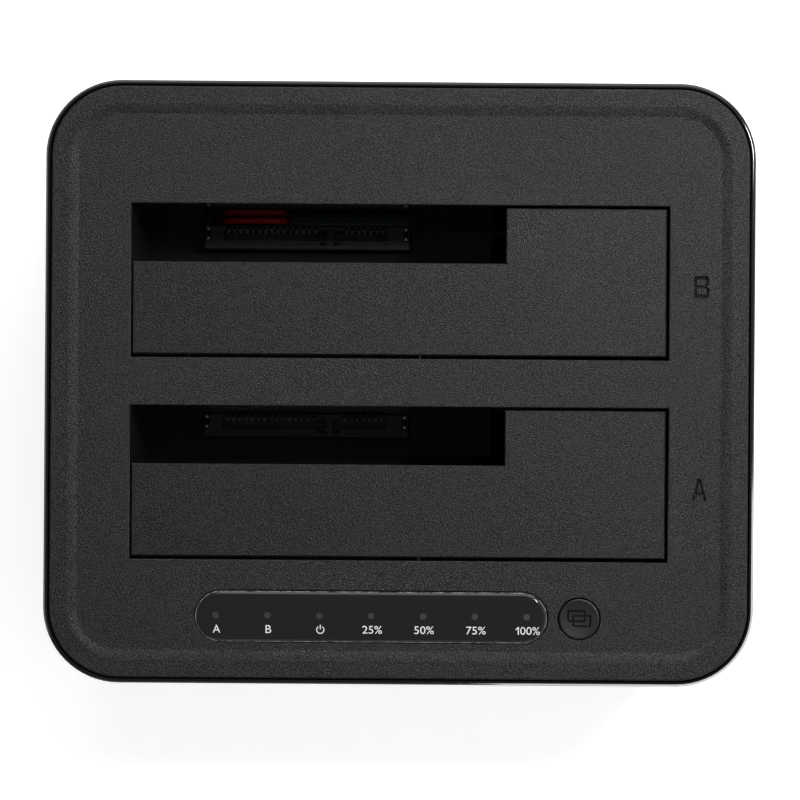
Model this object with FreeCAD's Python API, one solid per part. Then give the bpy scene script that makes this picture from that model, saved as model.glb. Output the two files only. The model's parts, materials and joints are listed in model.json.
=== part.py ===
"""Two-bay drive duplicator: a desk dock that holds two bare hard drives upright.

Frame: millimetres, +X to the right, +Y to the rear, +Z up. The origin is the point on the table
under the middle of the housing. Bay A is the front bay and bay B the rear one. Each bay has a
sprung L-shaped flap: a small drive goes through its notch, and a large one folds it down.
Each sub-part is one file in parts/, and its name is the node's name.
"""

import FreeCAD, Part
import math
import os

V = FreeCAD.Vector
X_AXIS, Y_AXIS, Z_AXIS = V(1, 0, 0), V(0, 1, 0), V(0, 0, 1)
OVERLAP = 0.5               # how far joined bodies run into each other
CUT = 1.0                   # how far a cutter runs past what it cuts

# ---------------------------------------------------------------- drives and bays
DRIVE_W, DRIVE_T = 101.6, 26.1        # large drive
BAY_SIDE_CLEAR = 0.5
DRIVE_CLEAR = 0.2           # between a large drive and the folded flap
FOLD_ROOM = 3.1             # depth of the bay that the folded flap takes
BAY_BRIDGE = 9.1            # strip of cover between the bays
NOTCH_W, NOTCH_D = 71.4, 11.15        # room for a small drive beside the closed flap
SOCKET_DEPTH = 37.4         # field down to the mouth of the drive socket

# ---------------------------------------------------------------- flaps and hinges
FLAP_T = 2.0
GAP_LEFT, GAP_RIGHT, GAP_FRONT, GAP_REAR = 0.3, 0.55, 0.7, 0.6
FLAP_EDGE = 0.22            # small chamfer round the flap's top
WINDOW_EDGE = 0.2           # small chamfer round each opening of the cover
HINGE_DROP = 4.5            # field down to the hinge pin
PIN_R = 0.9
PIN_HEAD_R, PIN_HEAD_T, PIN_TAIL = 1.5, 0.6, 0.4
RUNNING = 0.05              # radial clearance of a running fit
HELD = 0.02                 # radial clearance of a pin that stays put
KNUCKLE_WALL, KNUCKLE_W, KNUCKLE_CLEAR = 0.85, 7.0, 0.35
KNUCKLE_INSET = 7.3         # outer knuckle's middle from the bay's side
ARM_REACH, ARM_T, ARM_TAPER = 4.3, 1.4, 1.0       # arm's foot along the flap's underside
ARM_UNDER_COVER = 0.3
ARM_FOOT = (0.8, -0.6)      # direction from the pin to the neck's lower edge
FLAP_RIB_T, FLAP_RIB_H, FLAP_RIB_INSET = 1.2, 0.9, 2.0
SHORT_RIB_FRONT, LONG_RIB_FRONT = 2.0, 8.0
STOP_W, STOP_T, STOP_REACH, STOP_ROOT = 9.0, 1.0, 1.5, 3.0
STOP_CLEAR, STOP_STEP = 0.1, 0.3
STOP_SWING, STOP_SWING_END = 0.6, 1.0
WIRE_R, COIL_CLEAR = 0.25, 0.15       # torsion spring, and its clearance round the pin
COIL_TURNS, COIL_PITCH = 3.25, 0.56
SPRING_LEG, SPRING_SIDE = 7.0, 0.2
SPRING_PAD_W, SPRING_PAD_DROP, SPRING_PAD_FRONT = 2.4, 2.5, 0.6

# ---------------------------------------------------------------- wells
WELL_WALL, WELL_FLOOR, WELL_ROUND = 1.6, 1.8, 1.2
GUIDE_T, GUIDE_CLEAR, GUIDE_COUNT = 1.2, 0.3, 6
GUIDE_DROP = 11.4           # top of the guides below the field
EAR_W, EAR_LENGTH, EAR_T = 7.0, 6.6, 2.0
EAR_SPREAD = 9.0            # ears before and behind the bay's middle

# ---------------------------------------------------------------- drive sockets
SOCKET_H = 12.0             # circuit board to mouth
SOCKET_RISE = 4.5           # mouth above the well's floor
SOCKET_INSET = 32.15        # the bay's left side to the socket's middle
SOCKET_LENGTH = 42.3
SOCKET_NEAR, SOCKET_FAR = 1.6, 6.7    # socket's faces, from the bay's rear wall
SOCKET_CLEAR = 0.3
SLOT_NEAR, SLOT_FAR, SLOT_DEEP = 2.8, 4.9, 7.0
KEY_W, KEY_DEPTH = 1.5, 0.8
PIN_PITCH = 1.27
POWER_PINS, SIGNAL_PINS = 15, 7
SEGMENT_GAP = 6.35          # last power pin to first signal pin
PIN_ROW_SHIFT = -0.3        # middle of the pins from the socket's middle
PIN_END, PIN_KEY_END = 0.9, 2.5       # slot's ends past the outer and the inner pins
SOCKET_EDGE, SOCKET_FOOT = 0.3, 2.5
CONTACT_W, CONTACT_T, CONTACT_TAIL, CONTACT_SET = 0.5, 0.2, 1.1, 0.15
CONTACT_BENDS = ((0.0, 3.2), (0.85, 2.0), (0.3, 0.8))      # forward, and below the mouth
TAIL_CLEAR = 0.2            # contacts' tails to the socket's underside
GROOVE_W, GROOVE_DEEP = 0.7, 0.75
LOCK_T, LOCK_INSET, LOCK_CLEAR = 0.5, 0.95, 0.2
LOCK_NEAR, LOCK_FAR, LOCK_PRONG, LOCK_FORK = 2.2, 4.65, 0.5, 2.1
SKIRT_DROP = 3.0            # well's rear wall below its floor, behind the socket

# ---------------------------------------------------------------- indicators and clone button
LENS_X = -5.1
LENS_SLOT_L, LENS_SLOT_W = 67.4, 10.0
LENS_CLEAR, LENS_PROUD, LENS_ROUND = 0.2, 0.25, 0.7
LENS_FLANGE, LENS_FLANGE_T = 0.5, 1.0
LED_COUNT, LED_END, LED_SHIFT = 7, 4.06, 0.2
LED_W, LED_D, LED_H, LED_GAP = 2.0, 1.2, 0.8, 0.2
PIPE_R, PIPE_BAR_END, PIPE_BAR_D, PIPE_BAR_T = 0.65, 2.5, 3.0, 1.2
BUTTON_GAP, BUTTON_SHIFT = 1.9, -0.1  # button's hole from the lens slot, and off its middle
BUTTON_R, BUTTON_CLEAR = 3.85, 0.2
BUTTON_FLANGE, BUTTON_FLANGE_T = 0.5, 0.8
BUTTON_PROUD, BUTTON_DISH, BUTTON_RIM, BUTTON_ROUND = 0.1, 0.35, 0.45, 0.25
BUTTON_STEM_R = 1.6
PANEL_BOARD_DROP = 9.4      # field down to the indicator board's top
PANEL_BOARD_T, PANEL_BOARD_D = 1.2, 10.4
PANEL_BOARD_END = 7.2       # board's ends past the lens slot and the button
PANEL_HOLE_INSET = 2.7      # board's ends to its screws
PANEL_BOARD_GAP = 0.45      # board to bay A's well
PANEL_BOARD_FRONT = 7.65    # board to the body's front
TACT_W, TACT_H, TACT_PLUNGER_R = 6.0, 3.5, 1.75
TACT_DEEP, TACT_PROUD, TACT_STROKE, TACT_CLEAR = 1.2, 0.8, 0.5, 0.1
CABLE_X, CABLE_W, CABLE_T, CABLE_BOW = -22.0, 10.0, 0.9, 3.0
HEADER_W, HEADER_D, HEADER_H = 12.0, 4.6, 4.4
HEADER_GAP = 0.4            # upper plug housing to the indicator board's rear edge

# ---------------------------------------------------------------- ports
PANEL_SINK, PANEL_T = 3.6, 2.0        # port panel behind the rear face, and its thickness
PANEL_SIDE = 5.15           # panel's end from the body's rounded corner
PANEL_H, PANEL_ROUND, PANEL_RIM = 20.0, 3.0, 1.4
PANEL_BELOW_BOARD = 1.0     # panel's lower edge below the board's top
PORT_CLEAR, PORT_PROUD, PORT_ROOM, PORT_ROUND = 0.2, 0.3, 2.1, 0.6
SHELL_T, SHELL_ROUND, CORE_GAP = 0.4, 0.5, 0.1
USB_X, USB_W, USB_H, USB_LENGTH = 2.0, 12.0, 12.6, 16.4
USB_DEPTH = 10.0            # plug's depth
USB_LOW_W, USB_LOW_H, USB_HIGH_W, USB_HIGH_H, USB_ROUND = 8.6, 7.4, 6.4, 10.6, 0.8
USB_TONGUES = ((5.6, 2.2, 5.4), (5.2, 8.4, 9.6))  # width, foot and top above the mouth's foot
USB_TONGUE_SINK = 1.0
JACK_X, JACK_W, JACK_H, JACK_LENGTH = 32.0, 9.0, 11.0, 11.0
JACK_NOSE_R, JACK_BORE_R, JACK_BORE_DEEP, JACK_PIN_R = 4.0, 3.1, 9.5, 1.0
JACK_PIN_SEAT, JACK_PIN_SINK, JACK_PIN_ROUND, JACK_GAP = 1.5, 0.8, 0.5, 0.1
SWITCH_X, SWITCH_RAISE = -36.0, 9.0   # switch's middle above the board's top
SWITCH_BODY_D, SWITCH_ROUND = 9.0, 0.4
BEZEL_LIP, BEZEL_T, BEZEL_ROUND, BEZEL_EDGE = 0.9, 1.5, 1.2, 0.5
ROCKER_W, ROCKER_H = 11.4, 6.6
ROCKER_SIDE, ROCKER_END = 1.2, 1.0    # switch body past the rocker
ROCKER_TILT = 9.0           # degrees each side of the middle
ROCKER_DEEP = 2.4           # pivot below the rocker's face
ROCKER_SINK, ROCKER_CLEAR, ROCKER_ROOM = 0.2, 0.2, 4.4
ROCKER_RIM, ROCKER_ROOT_W, ROCKER_ROOT_DEEP = 1.6, 6.8, 2.4
TRUNNION_R, TRUNNION_LENGTH = 0.9, 0.6
BLADE_W, BLADE_T, BLADE_OUT, BLADE_SPREAD, BLADE_SEAT = 3.2, 0.6, 5.2, 3.5, 1.2
LEAD_R, LEAD_LIE, LEAD_BEND = 0.7, 1.45, 2.0      # leads' radius, axis above the board, bend
LEAD_CREST = 0.4            # axis above the socket's mouth
LEAD_FALL, LEAD_RISE = 0.5, 2.3       # first turn, ahead of the blade and above the lie
LEAD_HUMP = (0.4, 4.0, 15.6, 16.2)    # near lead's turns behind the socket, along X
LEAD_BACK, LEAD_ENTRY = 3.0, 4.5      # behind bay B's wall: last turn, and into the board
FAR_LEAD_TURNS = (1.6, 5.0, 6.2)      # along X
BEND_SHARE = 0.45           # of the shorter run beside a bend

# ---------------------------------------------------------------- screws
SCREW_CLEAR = 0.05          # radial, round a shank in its pilot hole
THROUGH_CLEAR = 0.35        # radial, round a shank in a clearance hole
CASE_SCREW = dict(shank=1.25, head=2.8, head_t=2.0, length=12.0)
SMALL_SCREW = dict(shank=1.0, head=1.9, head_t=1.3, length=6.0)
CROSS_LONG, CROSS_WIDE, CROSS_DEEP = 0.6, 0.14, 0.6       # of the head's radius and height
CASE_SCREW_INSET, CASE_SCREW_SINK = 9.8, 3.0
COVER_SCREW_X_INSET, COVER_SCREW_Y_INSET = 7.45, 17.45
CASE_BOSS_R, COVER_BOSS_R, WELL_BOSS_R, INDICATOR_BOSS_R = 3.5, 3.0, 2.7, 2.4
COVER_BOSS_H, WELL_BOSS_H, CASE_BOSS_H = 6.0, 4.0, 13.0
PILOT_INTO_COVER, PILOT_SKIN, TIP_GAP = 0.5, 1.5, 0.6
WEB_T, WEB_STEP, WEB_CLEAR = 1.6, 1.0, 0.2
TAB_T = 2.4

# ---------------------------------------------------------------- body
SIDE_STRIP = 16.35          # cover beside the bays
BODY_H = 62.0               # table to the top cover's rim
BODY_R = 14.5               # corner radius seen from above
HOUSING_WALL = 2.4
LIP_T, LIP_ROUND, LIP_DROP = 0.85, 0.6, 0.2   # thin gloss lip round the top cover
SEAM = 0.3                  # gap between lip and cover
LEDGE_W, LEDGE_T = 4.0, 1.8           # ledge that the cover sits on
RECESS = 0.6                # the middle field lies this much below the rim
BEVEL_OUT, BEVEL_W = 4.45, 1.9        # from the body's edge to the bevel's top, and its width
COVER_T, COVER_EDGE_ROUND = 2.2, 0.4

# ---------------------------------------------------------------- base cover and main board
FOOT_STAND = 2.0            # the feet hold the base this far off the table
BASE_T, BASE_RISE, BASE_INSET, BASE_ROUND = 2.2, 5.4, 0.3, 3.0
POST_WALL = 0.5             # base's posts wider than the bosses on them
TONGUE_H, TONGUE_T, TONGUE_CLEAR = 2.0, 1.45, 0.15
FOOT_R, FOOT_SINK, FOOT_CLEAR, FOOT_ROUND = 6.0, 1.0, 0.1, 0.5
FOOT_INSET_X, FOOT_INSET_Y = 19.0, 19.5
VENT_W, VENT_LENGTH, VENT_PITCH, VENT_COUNT = 2.2, 24.0, 6.0, 11
VENT_ROW_Y = 15.0
BOARD_T, BOARD_ROUND = 1.6, 2.0
BOARD_POST_GAP = 1.85       # board's edge to the case screws' posts
BOARD_FRONT_GAP = 11.5      # body's front to the board's edge
BOARD_REAR_GAP = 0.35       # port panel's inside to the board's edge
STANDOFF_R, BOARD_HOLE_INSET = 3.0, 5.0
CHIP_EDGE = 0.2
BRIDGE_CHIP, REGULATOR, CONVERTER, INDUCTOR = (10, 10, 1.4), (5, 4, 1.5), (5.2, 5.4, 1.7), (7, 7, 4)
BRIDGE_X, CONVERTER_X, CONVERTER_Y = 18.0, -4.0, 3.0
REGULATOR_PLACES = ((0, 8), (0, -6), (10, 1))     # from the jack and bay B's middle
INDUCTOR_PLACES = ((12, -7), (12, 10))
CRYSTAL_W, CRYSTAL_D, CRYSTAL_H, CRYSTAL_ROUND, CRYSTAL_EDGE = 8.0, 3.6, 3.2, 1.7, 0.4
CRYSTAL_X, CRYSTAL_SHIFT = 6.0, -8.0
CAPACITOR_R, CAPACITOR_H, CAPACITOR_EDGE = 3.15, 11.0, 0.5
CAPACITOR_PLACES = (-17.0, -9.5)      # from the jack

# ---------------------------------------------------------------- worked-out sizes and places
BAY_W = DRIVE_W + 2 * BAY_SIDE_CLEAR
BAY_D = DRIVE_T + DRIVE_CLEAR + FOLD_ROOM
KNUCKLE_R = PIN_R + KNUCKLE_WALL
COIL_R = PIN_R + COIL_CLEAR + WIRE_R
HINGE_SET = FOLD_ROOM - HINGE_DROP    # hinge from the bay's front edge, along +Y
HINGE_ROOM = KNUCKLE_R + KNUCKLE_CLEAR - HINGE_SET    # bay's front edge to the well's inside
WELL_AHEAD = HINGE_ROOM + WELL_WALL
FRONT_STRIP = WELL_AHEAD + PANEL_BOARD_GAP + PANEL_BOARD_D + PANEL_BOARD_FRONT
REAR_STRIP = WELL_WALL + PORT_ROOM + USB_LENGTH - PORT_PROUD + PANEL_SINK
BODY_W = BAY_W + 2 * SIDE_STRIP
BODY_D = FRONT_STRIP + 2 * BAY_D + BAY_BRIDGE + REAR_STRIP
HALF_W, HALF_D = BODY_W / 2, BODY_D / 2
FIELD_Z = BODY_H - RECESS
COVER_UNDER = FIELD_Z - COVER_T
HINGE_Z = FIELD_Z - HINGE_DROP
MOUTH_Z = FIELD_Z - SOCKET_DEPTH
BOARD_TOP = MOUTH_Z - SOCKET_H
BOARD_UNDER = BOARD_TOP - BOARD_T
FLOOR_Z = MOUTH_Z - SOCKET_RISE
BASE_INNER = FOOT_STAND + BASE_T
HOUSING_FOOT = FOOT_STAND + BASE_RISE
POST_R = CASE_BOSS_R + POST_WALL
SOCKET_X = SOCKET_INSET - BAY_W / 2
PANEL_FACE = HALF_D - PANEL_SINK
PANEL_INNER = PANEL_FACE - PANEL_T
PANEL_W = BODY_W - 2 * (BODY_R + PANEL_SIDE)
PANEL_Z0 = BOARD_TOP - PANEL_BELOW_BOARD
PORT_END = PANEL_FACE + PORT_PROUD
BOARD_W = BODY_W - 2 * (CASE_SCREW_INSET + POST_R + BOARD_POST_GAP)
BOARD_Y0 = -HALF_D + BOARD_FRONT_GAP
BOARD_Y1 = PANEL_INNER - BOARD_REAR_GAP
BAY_FRONT = {"a": FRONT_STRIP - HALF_D, "b": FRONT_STRIP - HALF_D + BAY_D + BAY_BRIDGE}
LENS_Y = -HALF_D + PANEL_BOARD_FRONT + PANEL_BOARD_D / 2
LED_PITCH = (LENS_SLOT_L - 2 * LED_END) / (LED_COUNT - 1)
BUTTON_HOLE_R = BUTTON_R + BUTTON_CLEAR
BUTTON_X = LENS_X + LENS_SLOT_L / 2 + BUTTON_GAP + BUTTON_HOLE_R
BUTTON_Y = LENS_Y + BUTTON_SHIFT
LED_Y = LENS_Y + LED_SHIFT
PANEL_BOARD_X0 = LENS_X - LENS_SLOT_L / 2 - PANEL_BOARD_END
PANEL_BOARD_X1 = BUTTON_X + BUTTON_HOLE_R + PANEL_BOARD_END
INDICATOR_TOP = FIELD_Z - PANEL_BOARD_DROP
INDICATOR_UNDER = INDICATOR_TOP - PANEL_BOARD_T
SWITCH_Z = BOARD_TOP + SWITCH_RAISE
SWITCH_BODY_W = ROCKER_W + 2 * ROCKER_SIDE
SWITCH_BODY_H = ROCKER_H + 2 * ROCKER_END
SMALL_PILOT_R = SMALL_SCREW["shank"] + SCREW_CLEAR
SMALL_HOLE_R = SMALL_SCREW["shank"] + THROUGH_CLEAR


def front_edge(bay):
    return BAY_FRONT[bay]


def rear_edge(bay):
    return BAY_FRONT[bay] + BAY_D


def bay_middle(bay):
    return BAY_FRONT[bay] + BAY_D / 2


def hinge_y(bay):
    return front_edge(bay) + HINGE_SET


# ================================================================ shape helpers
def block(x0, x1, y0, y1, z0, z1):
    return Part.makeBox(x1 - x0, y1 - y0, z1 - z0, V(x0, y0, z0))


def rod(x, y, z0, z1, radius):
    return Part.makeCylinder(radius, z1 - z0, V(x, y, z0), Z_AXIS)


def rod_x(x0, x1, y, z, radius):
    return Part.makeCylinder(radius, x1 - x0, V(x0, y, z), X_AXIS)


def rod_y(x, y0, y1, z, radius):
    return Part.makeCylinder(radius, y1 - y0, V(x, y0, z), Y_AXIS)


def rounded_wire(width, depth, radius, z, cx=0.0, cy=0.0):
    """A rectangle with round corners, flat at height z."""
    w, d, r = width / 2, depth / 2, radius
    slant = r * (1 - math.sqrt(0.5))
    edges = []
    for sx, sy in ((1, 1), (-1, 1), (-1, -1), (1, -1)):
        side = V(cx + sx * w, cy + sy * (d - r), z)
        middle = V(cx + sx * (w - slant), cy + sy * (d - slant), z)
        end = V(cx + sx * (w - r), cy + sy * d, z)
        if sx * sy < 0:
            side, end = end, side
        edges.append((side, middle, end))
    parts = []
    for n, (start, middle, end) in enumerate(edges):
        following = edges[(n + 1) % 4][0]
        parts.append(Part.Arc(start, middle, end).toShape())
        if (following - end).Length > 1e-6:
            parts.append(Part.makeLine(end, following))
    return Part.Wire(parts)


def slab(width, depth, radius, z0, z1, cx=0.0, cy=0.0):
    face = Part.Face(rounded_wire(width, depth, radius, z0, cx, cy))
    return face.extrude(V(0, 0, z1 - z0))


def stadium(length, width, z0, z1, cx, cy):
    """A slab whose ends are half round."""
    return slab(length, width, min(length, width) / 2 - 1e-3, z0, z1, cx, cy)


def body_slab(inset, z0, z1):
    """A slice of the body's outline, set in by inset all round."""
    return slab(BODY_W - 2 * inset, BODY_D - 2 * inset, BODY_R - inset, z0, z1)


def upright_slab(width, height, radius, y0, y1, cx, cz):
    """A rounded rectangle in the XZ plane, extruded along +Y."""
    flat = slab(width, height, radius, 0, y1 - y0)
    flat.rotate(V(0, 0, 0), X_AXIS, 90)
    flat.translate(V(cx, y1, cz))
    return flat


def polygon_prism(points, direction):
    wire = Part.makePolygon(points + [points[0]])
    return Part.Face(wire).extrude(direction)


def edges_at(shape, z, tolerance=1e-3):
    """The edges that lie wholly at height z."""
    return [
        e for e in shape.Edges
        if abs(e.BoundBox.ZMin - z) < tolerance and abs(e.BoundBox.ZMax - z) < tolerance
    ]


def four_corners(x, y):
    return [(sx * x, sy * y) for sx in (-1, 1) for sy in (-1, 1)]


def join(first, others):
    return first.multiFuse(others).removeSplitter() if others else first


def remove(shape, others):
    return shape.cut(others) if others else shape


def strip(points, thickness, direction):
    """A bent strip: the open line of points, thickened to its left, extruded along direction."""
    line = [V(*p) for p in points]
    normals = [unit_left(b - a, direction) for a, b in zip(line, line[1:])]
    far = [line[0] + normals[0] * thickness]
    for n in range(1, len(line) - 1):
        mean = normals[n - 1] + normals[n]
        far.append(line[n] + mean * (thickness / (1 + normals[n - 1].dot(normals[n]))))
    far.append(line[-1] + normals[-1] * thickness)
    return polygon_prism(line + far[::-1], direction)


def unit_left(run, direction):
    return V(direction).cross(run).normalize()


def screw(x, y, seat_z, size, upward=True, cross=False):
    """A pan-head screw whose head bears at seat_z and whose shank points up or down."""
    sign = 1 if upward else -1
    ends = sorted((seat_z, seat_z + sign * size["length"]))
    shank = rod(x, y, ends[0], ends[1], size["shank"])
    ends = sorted((seat_z, seat_z - sign * size["head_t"]))
    head = rod(x, y, ends[0], ends[1], size["head"])
    if cross:
        face = seat_z - sign * size["head_t"]
        head = head.makeChamfer(size["head_t"] / 4, edges_at(head, face))
        deep = sorted((face - sign * CUT, face + sign * size["head_t"] * CROSS_DEEP))
        long, wide = size["head"] * CROSS_LONG, size["head"] * CROSS_WIDE
        head = head.cut([
            block(x - long, x + long, y - wide, y + wide, deep[0], deep[1]),
            block(x - wide, x + wide, y - long, y + long, deep[0], deep[1]),
        ])
    return head.fuse(shank)


def round_wire(points, radius, largest):
    """A round wire that follows points, with each corner an arc of at most the largest radius."""
    pts = [V(*p) for p in points]
    edges, cursor = [], pts[0]
    for before, corner, after in zip(pts, pts[1:], pts[2:]):
        into, out = corner - before, after - corner
        turn = into.getAngle(out)
        back = min(BEND_SHARE * min(into.Length, out.Length), largest * math.tan(turn / 2))
        bend = back / math.tan(turn / 2)
        start = corner - V(into).normalize() * back
        end = corner + V(out).normalize() * back
        towards = (V(out).normalize() - V(into).normalize()).normalize()
        centre = corner + towards * (bend / math.cos(turn / 2))
        middle = centre - towards * bend
        edges += [Part.makeLine(cursor, start), Part.Arc(start, middle, end).toShape()]
        cursor = end
    edges.append(Part.makeLine(cursor, pts[-1]))
    path = Part.Wire(edges)
    ring = Part.Wire(Part.makeCircle(radius, pts[0], pts[1] - pts[0]))
    return path.makePipeShell([ring], True, True)


# ================================================================ casing
def cover_screw_places():
    return four_corners(HALF_W - COVER_SCREW_X_INSET, HALF_D - COVER_SCREW_Y_INSET)


def case_screw_places():
    return four_corners(HALF_W - CASE_SCREW_INSET, HALF_D - CASE_SCREW_INSET)


def well_screw_places(bay):
    x = BAY_W / 2 + WELL_WALL + EAR_LENGTH / 2
    middle = bay_middle(bay)
    return [(sx * x, middle + sy * EAR_SPREAD) for sx in (-1, 1) for sy in (-1, 1)]


def indicator_screw_places():
    inset = PANEL_HOLE_INSET
    return [(PANEL_BOARD_X0 + inset, LENS_Y), (PANEL_BOARD_X1 - inset, LENS_Y)]


def top_cover():
    """Textured plate with a sunk field, two bay windows, the lens slot and the button hole."""
    edge = LIP_T + SEAM
    plate = body_slab(edge, COVER_UNDER, BODY_H)
    plate = plate.makeFillet(COVER_EDGE_ROUND, edges_at(plate, BODY_H))
    low = BEVEL_OUT + BEVEL_W
    rim = [
        rounded_wire(BODY_W - 2 * inset, BODY_D - 2 * inset, BODY_R - inset, z)
        for inset, z in ((low, FIELD_Z), (BEVEL_OUT, BODY_H))
    ]
    sunk = Part.makeLoft(rim, True, True)
    bosses = [
        rod(x, y, COVER_UNDER - COVER_BOSS_H, COVER_UNDER, COVER_BOSS_R)
        for x, y in cover_screw_places()
    ]
    pilot_top = COVER_UNDER + PILOT_INTO_COVER
    pilots = [
        rod(x, y, COVER_UNDER - COVER_BOSS_H - CUT, pilot_top, SMALL_PILOT_R)
        for x, y in cover_screw_places()
    ]
    for bay in ("a", "b"):
        for x, y in well_screw_places(bay):
            bosses.append(rod(x, y, COVER_UNDER - WELL_BOSS_H, COVER_UNDER, WELL_BOSS_R))
            pilots.append(rod(x, y, COVER_UNDER - WELL_BOSS_H - CUT, pilot_top, SMALL_PILOT_R))
    for x, y in indicator_screw_places():
        bosses.append(rod(x, y, INDICATOR_TOP, COVER_UNDER, INDICATOR_BOSS_R))
        pilots.append(rod(x, y, INDICATOR_TOP - CUT, pilot_top, SMALL_PILOT_R))
    windows = [
        block(-BAY_W / 2, BAY_W / 2, front_edge(bay), rear_edge(bay), COVER_UNDER - CUT, BODY_H + CUT)
        for bay in ("a", "b")
    ]
    lens_slot = stadium(LENS_SLOT_L, LENS_SLOT_W, COVER_UNDER - CUT, BODY_H + CUT, LENS_X, LENS_Y)
    button_hole = rod(BUTTON_X, BUTTON_Y, COVER_UNDER - CUT, BODY_H + CUT, BUTTON_HOLE_R)
    plate = remove(plate, [sunk] + windows + [lens_slot, button_hole])
    plate = plate.makeChamfer(WINDOW_EDGE, opening_edges(plate))
    return remove(join(plate, bosses), pilots)


def opening_edges(plate):
    """The field's edges round the windows, the lens slot and the button hole."""
    limit = HALF_W - BEVEL_OUT - BEVEL_W - CUT
    return [e for e in edges_at(plate, FIELD_Z) if max(abs(e.BoundBox.XMin), abs(e.BoundBox.XMax)) < limit]


def housing():
    """Gloss surround: lip, ledge for the cover, sunk port panel and screw bosses."""
    lip_top = BODY_H - LIP_DROP
    outer = body_slab(0, HOUSING_FOOT, lip_top)
    outer = outer.makeFillet(LIP_ROUND, edges_at(outer, lip_top))
    room = body_slab(HOUSING_WALL, HOUSING_FOOT - CUT, COVER_UNDER - LEDGE_T)
    throat = body_slab(LEDGE_W, COVER_UNDER - LEDGE_T - CUT, COVER_UNDER + CUT)
    rebate = body_slab(LIP_T, COVER_UNDER, lip_top + CUT)
    shell = remove(outer, [room, throat, rebate])
    panel_middle = PANEL_Z0 + PANEL_H / 2
    backing = upright_slab(
        PANEL_W + 2 * PANEL_T, PANEL_H + 2 * PANEL_RIM, PANEL_ROUND + PANEL_RIM,
        PANEL_INNER, HALF_D - HOUSING_WALL / 2, 0, panel_middle,
    )
    sunk_panel = upright_slab(PANEL_W, PANEL_H, PANEL_ROUND, PANEL_FACE, HALF_D + CUT, 0, panel_middle)
    shell = remove(join(shell, [backing]), [sunk_panel] + port_holes())
    return remove(join(shell, case_bosses() + cover_tabs()), case_pilots() + cover_tab_holes())


def port_holes():
    y0, y1, grow = PANEL_INNER - CUT, PANEL_FACE + CUT, 2 * PORT_CLEAR
    return [
        upright_slab(USB_W + grow, USB_H + grow, PORT_ROUND, y0, y1, USB_X, usb_z()),
        rod_y(JACK_X, y0, y1, jack_z(), JACK_NOSE_R + PORT_CLEAR),
        upright_slab(SWITCH_BODY_W + grow, SWITCH_BODY_H + grow, PORT_ROUND, y0, y1, SWITCH_X, SWITCH_Z),
    ]


def case_bosses():
    """Bosses above the base's posts, each with a web into its corner."""
    made = []
    web_foot, web_top = HOUSING_FOOT + TONGUE_H + WEB_CLEAR, HOUSING_FOOT + CASE_BOSS_H - WEB_STEP
    for x, y in case_screw_places():
        made.append(rod(x, y, HOUSING_FOOT, HOUSING_FOOT + CASE_BOSS_H, CASE_BOSS_R))
        reach = BODY_R - HOUSING_WALL / 2 - math.hypot(
            abs(x) - (HALF_W - BODY_R), abs(y) - (HALF_D - BODY_R)
        )
        web = block(0, reach, -WEB_T / 2, WEB_T / 2, web_foot, web_top)
        angle = math.degrees(math.atan2(y - math.copysign(HALF_D - BODY_R, y),
                                        x - math.copysign(HALF_W - BODY_R, x)))
        web.rotate(V(0, 0, 0), Z_AXIS, angle)
        web.translate(V(x, y, 0))
        made.append(web)
    return made


def case_pilots():
    radius = CASE_SCREW["shank"] + SCREW_CLEAR
    return [
        rod(x, y, HOUSING_FOOT - CUT, HOUSING_FOOT + CASE_BOSS_H - PILOT_SKIN, radius)
        for x, y in case_screw_places()
    ]


def cover_tabs():
    """Tabs on the housing's sides, under the cover's four corner bosses."""
    top = COVER_UNDER - COVER_BOSS_H
    made = []
    for x, y in cover_screw_places():
        wall = math.copysign(HALF_W - HOUSING_WALL / 2, x)
        x0, x1 = sorted((x, wall))
        made.append(block(x0, x1, y - CASE_BOSS_R, y + CASE_BOSS_R, top - TAB_T, top))
        made.append(rod(x, y, top - TAB_T, top, CASE_BOSS_R))
    return made


def cover_tab_holes():
    top = COVER_UNDER - COVER_BOSS_H
    return [rod(x, y, top - TAB_T - CUT, top + CUT, SMALL_HOLE_R) for x, y in cover_screw_places()]


def cover_screws():
    seat = COVER_UNDER - COVER_BOSS_H - TAB_T
    return [screw(x, y, seat, SMALL_SCREW) for x, y in cover_screw_places()]


def foot_places():
    return four_corners(HALF_W - FOOT_INSET_X, HALF_D - FOOT_INSET_Y)


def board_screw_places():
    middle = (BOARD_Y0 + BOARD_Y1) / 2
    reach = (BOARD_Y1 - BOARD_Y0) / 2 - BOARD_HOLE_INSET
    x = BOARD_W / 2 - BOARD_HOLE_INSET
    return [(sx * x, middle + sy * reach) for sx in (-1, 1) for sy in (-1, 1)]


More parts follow.
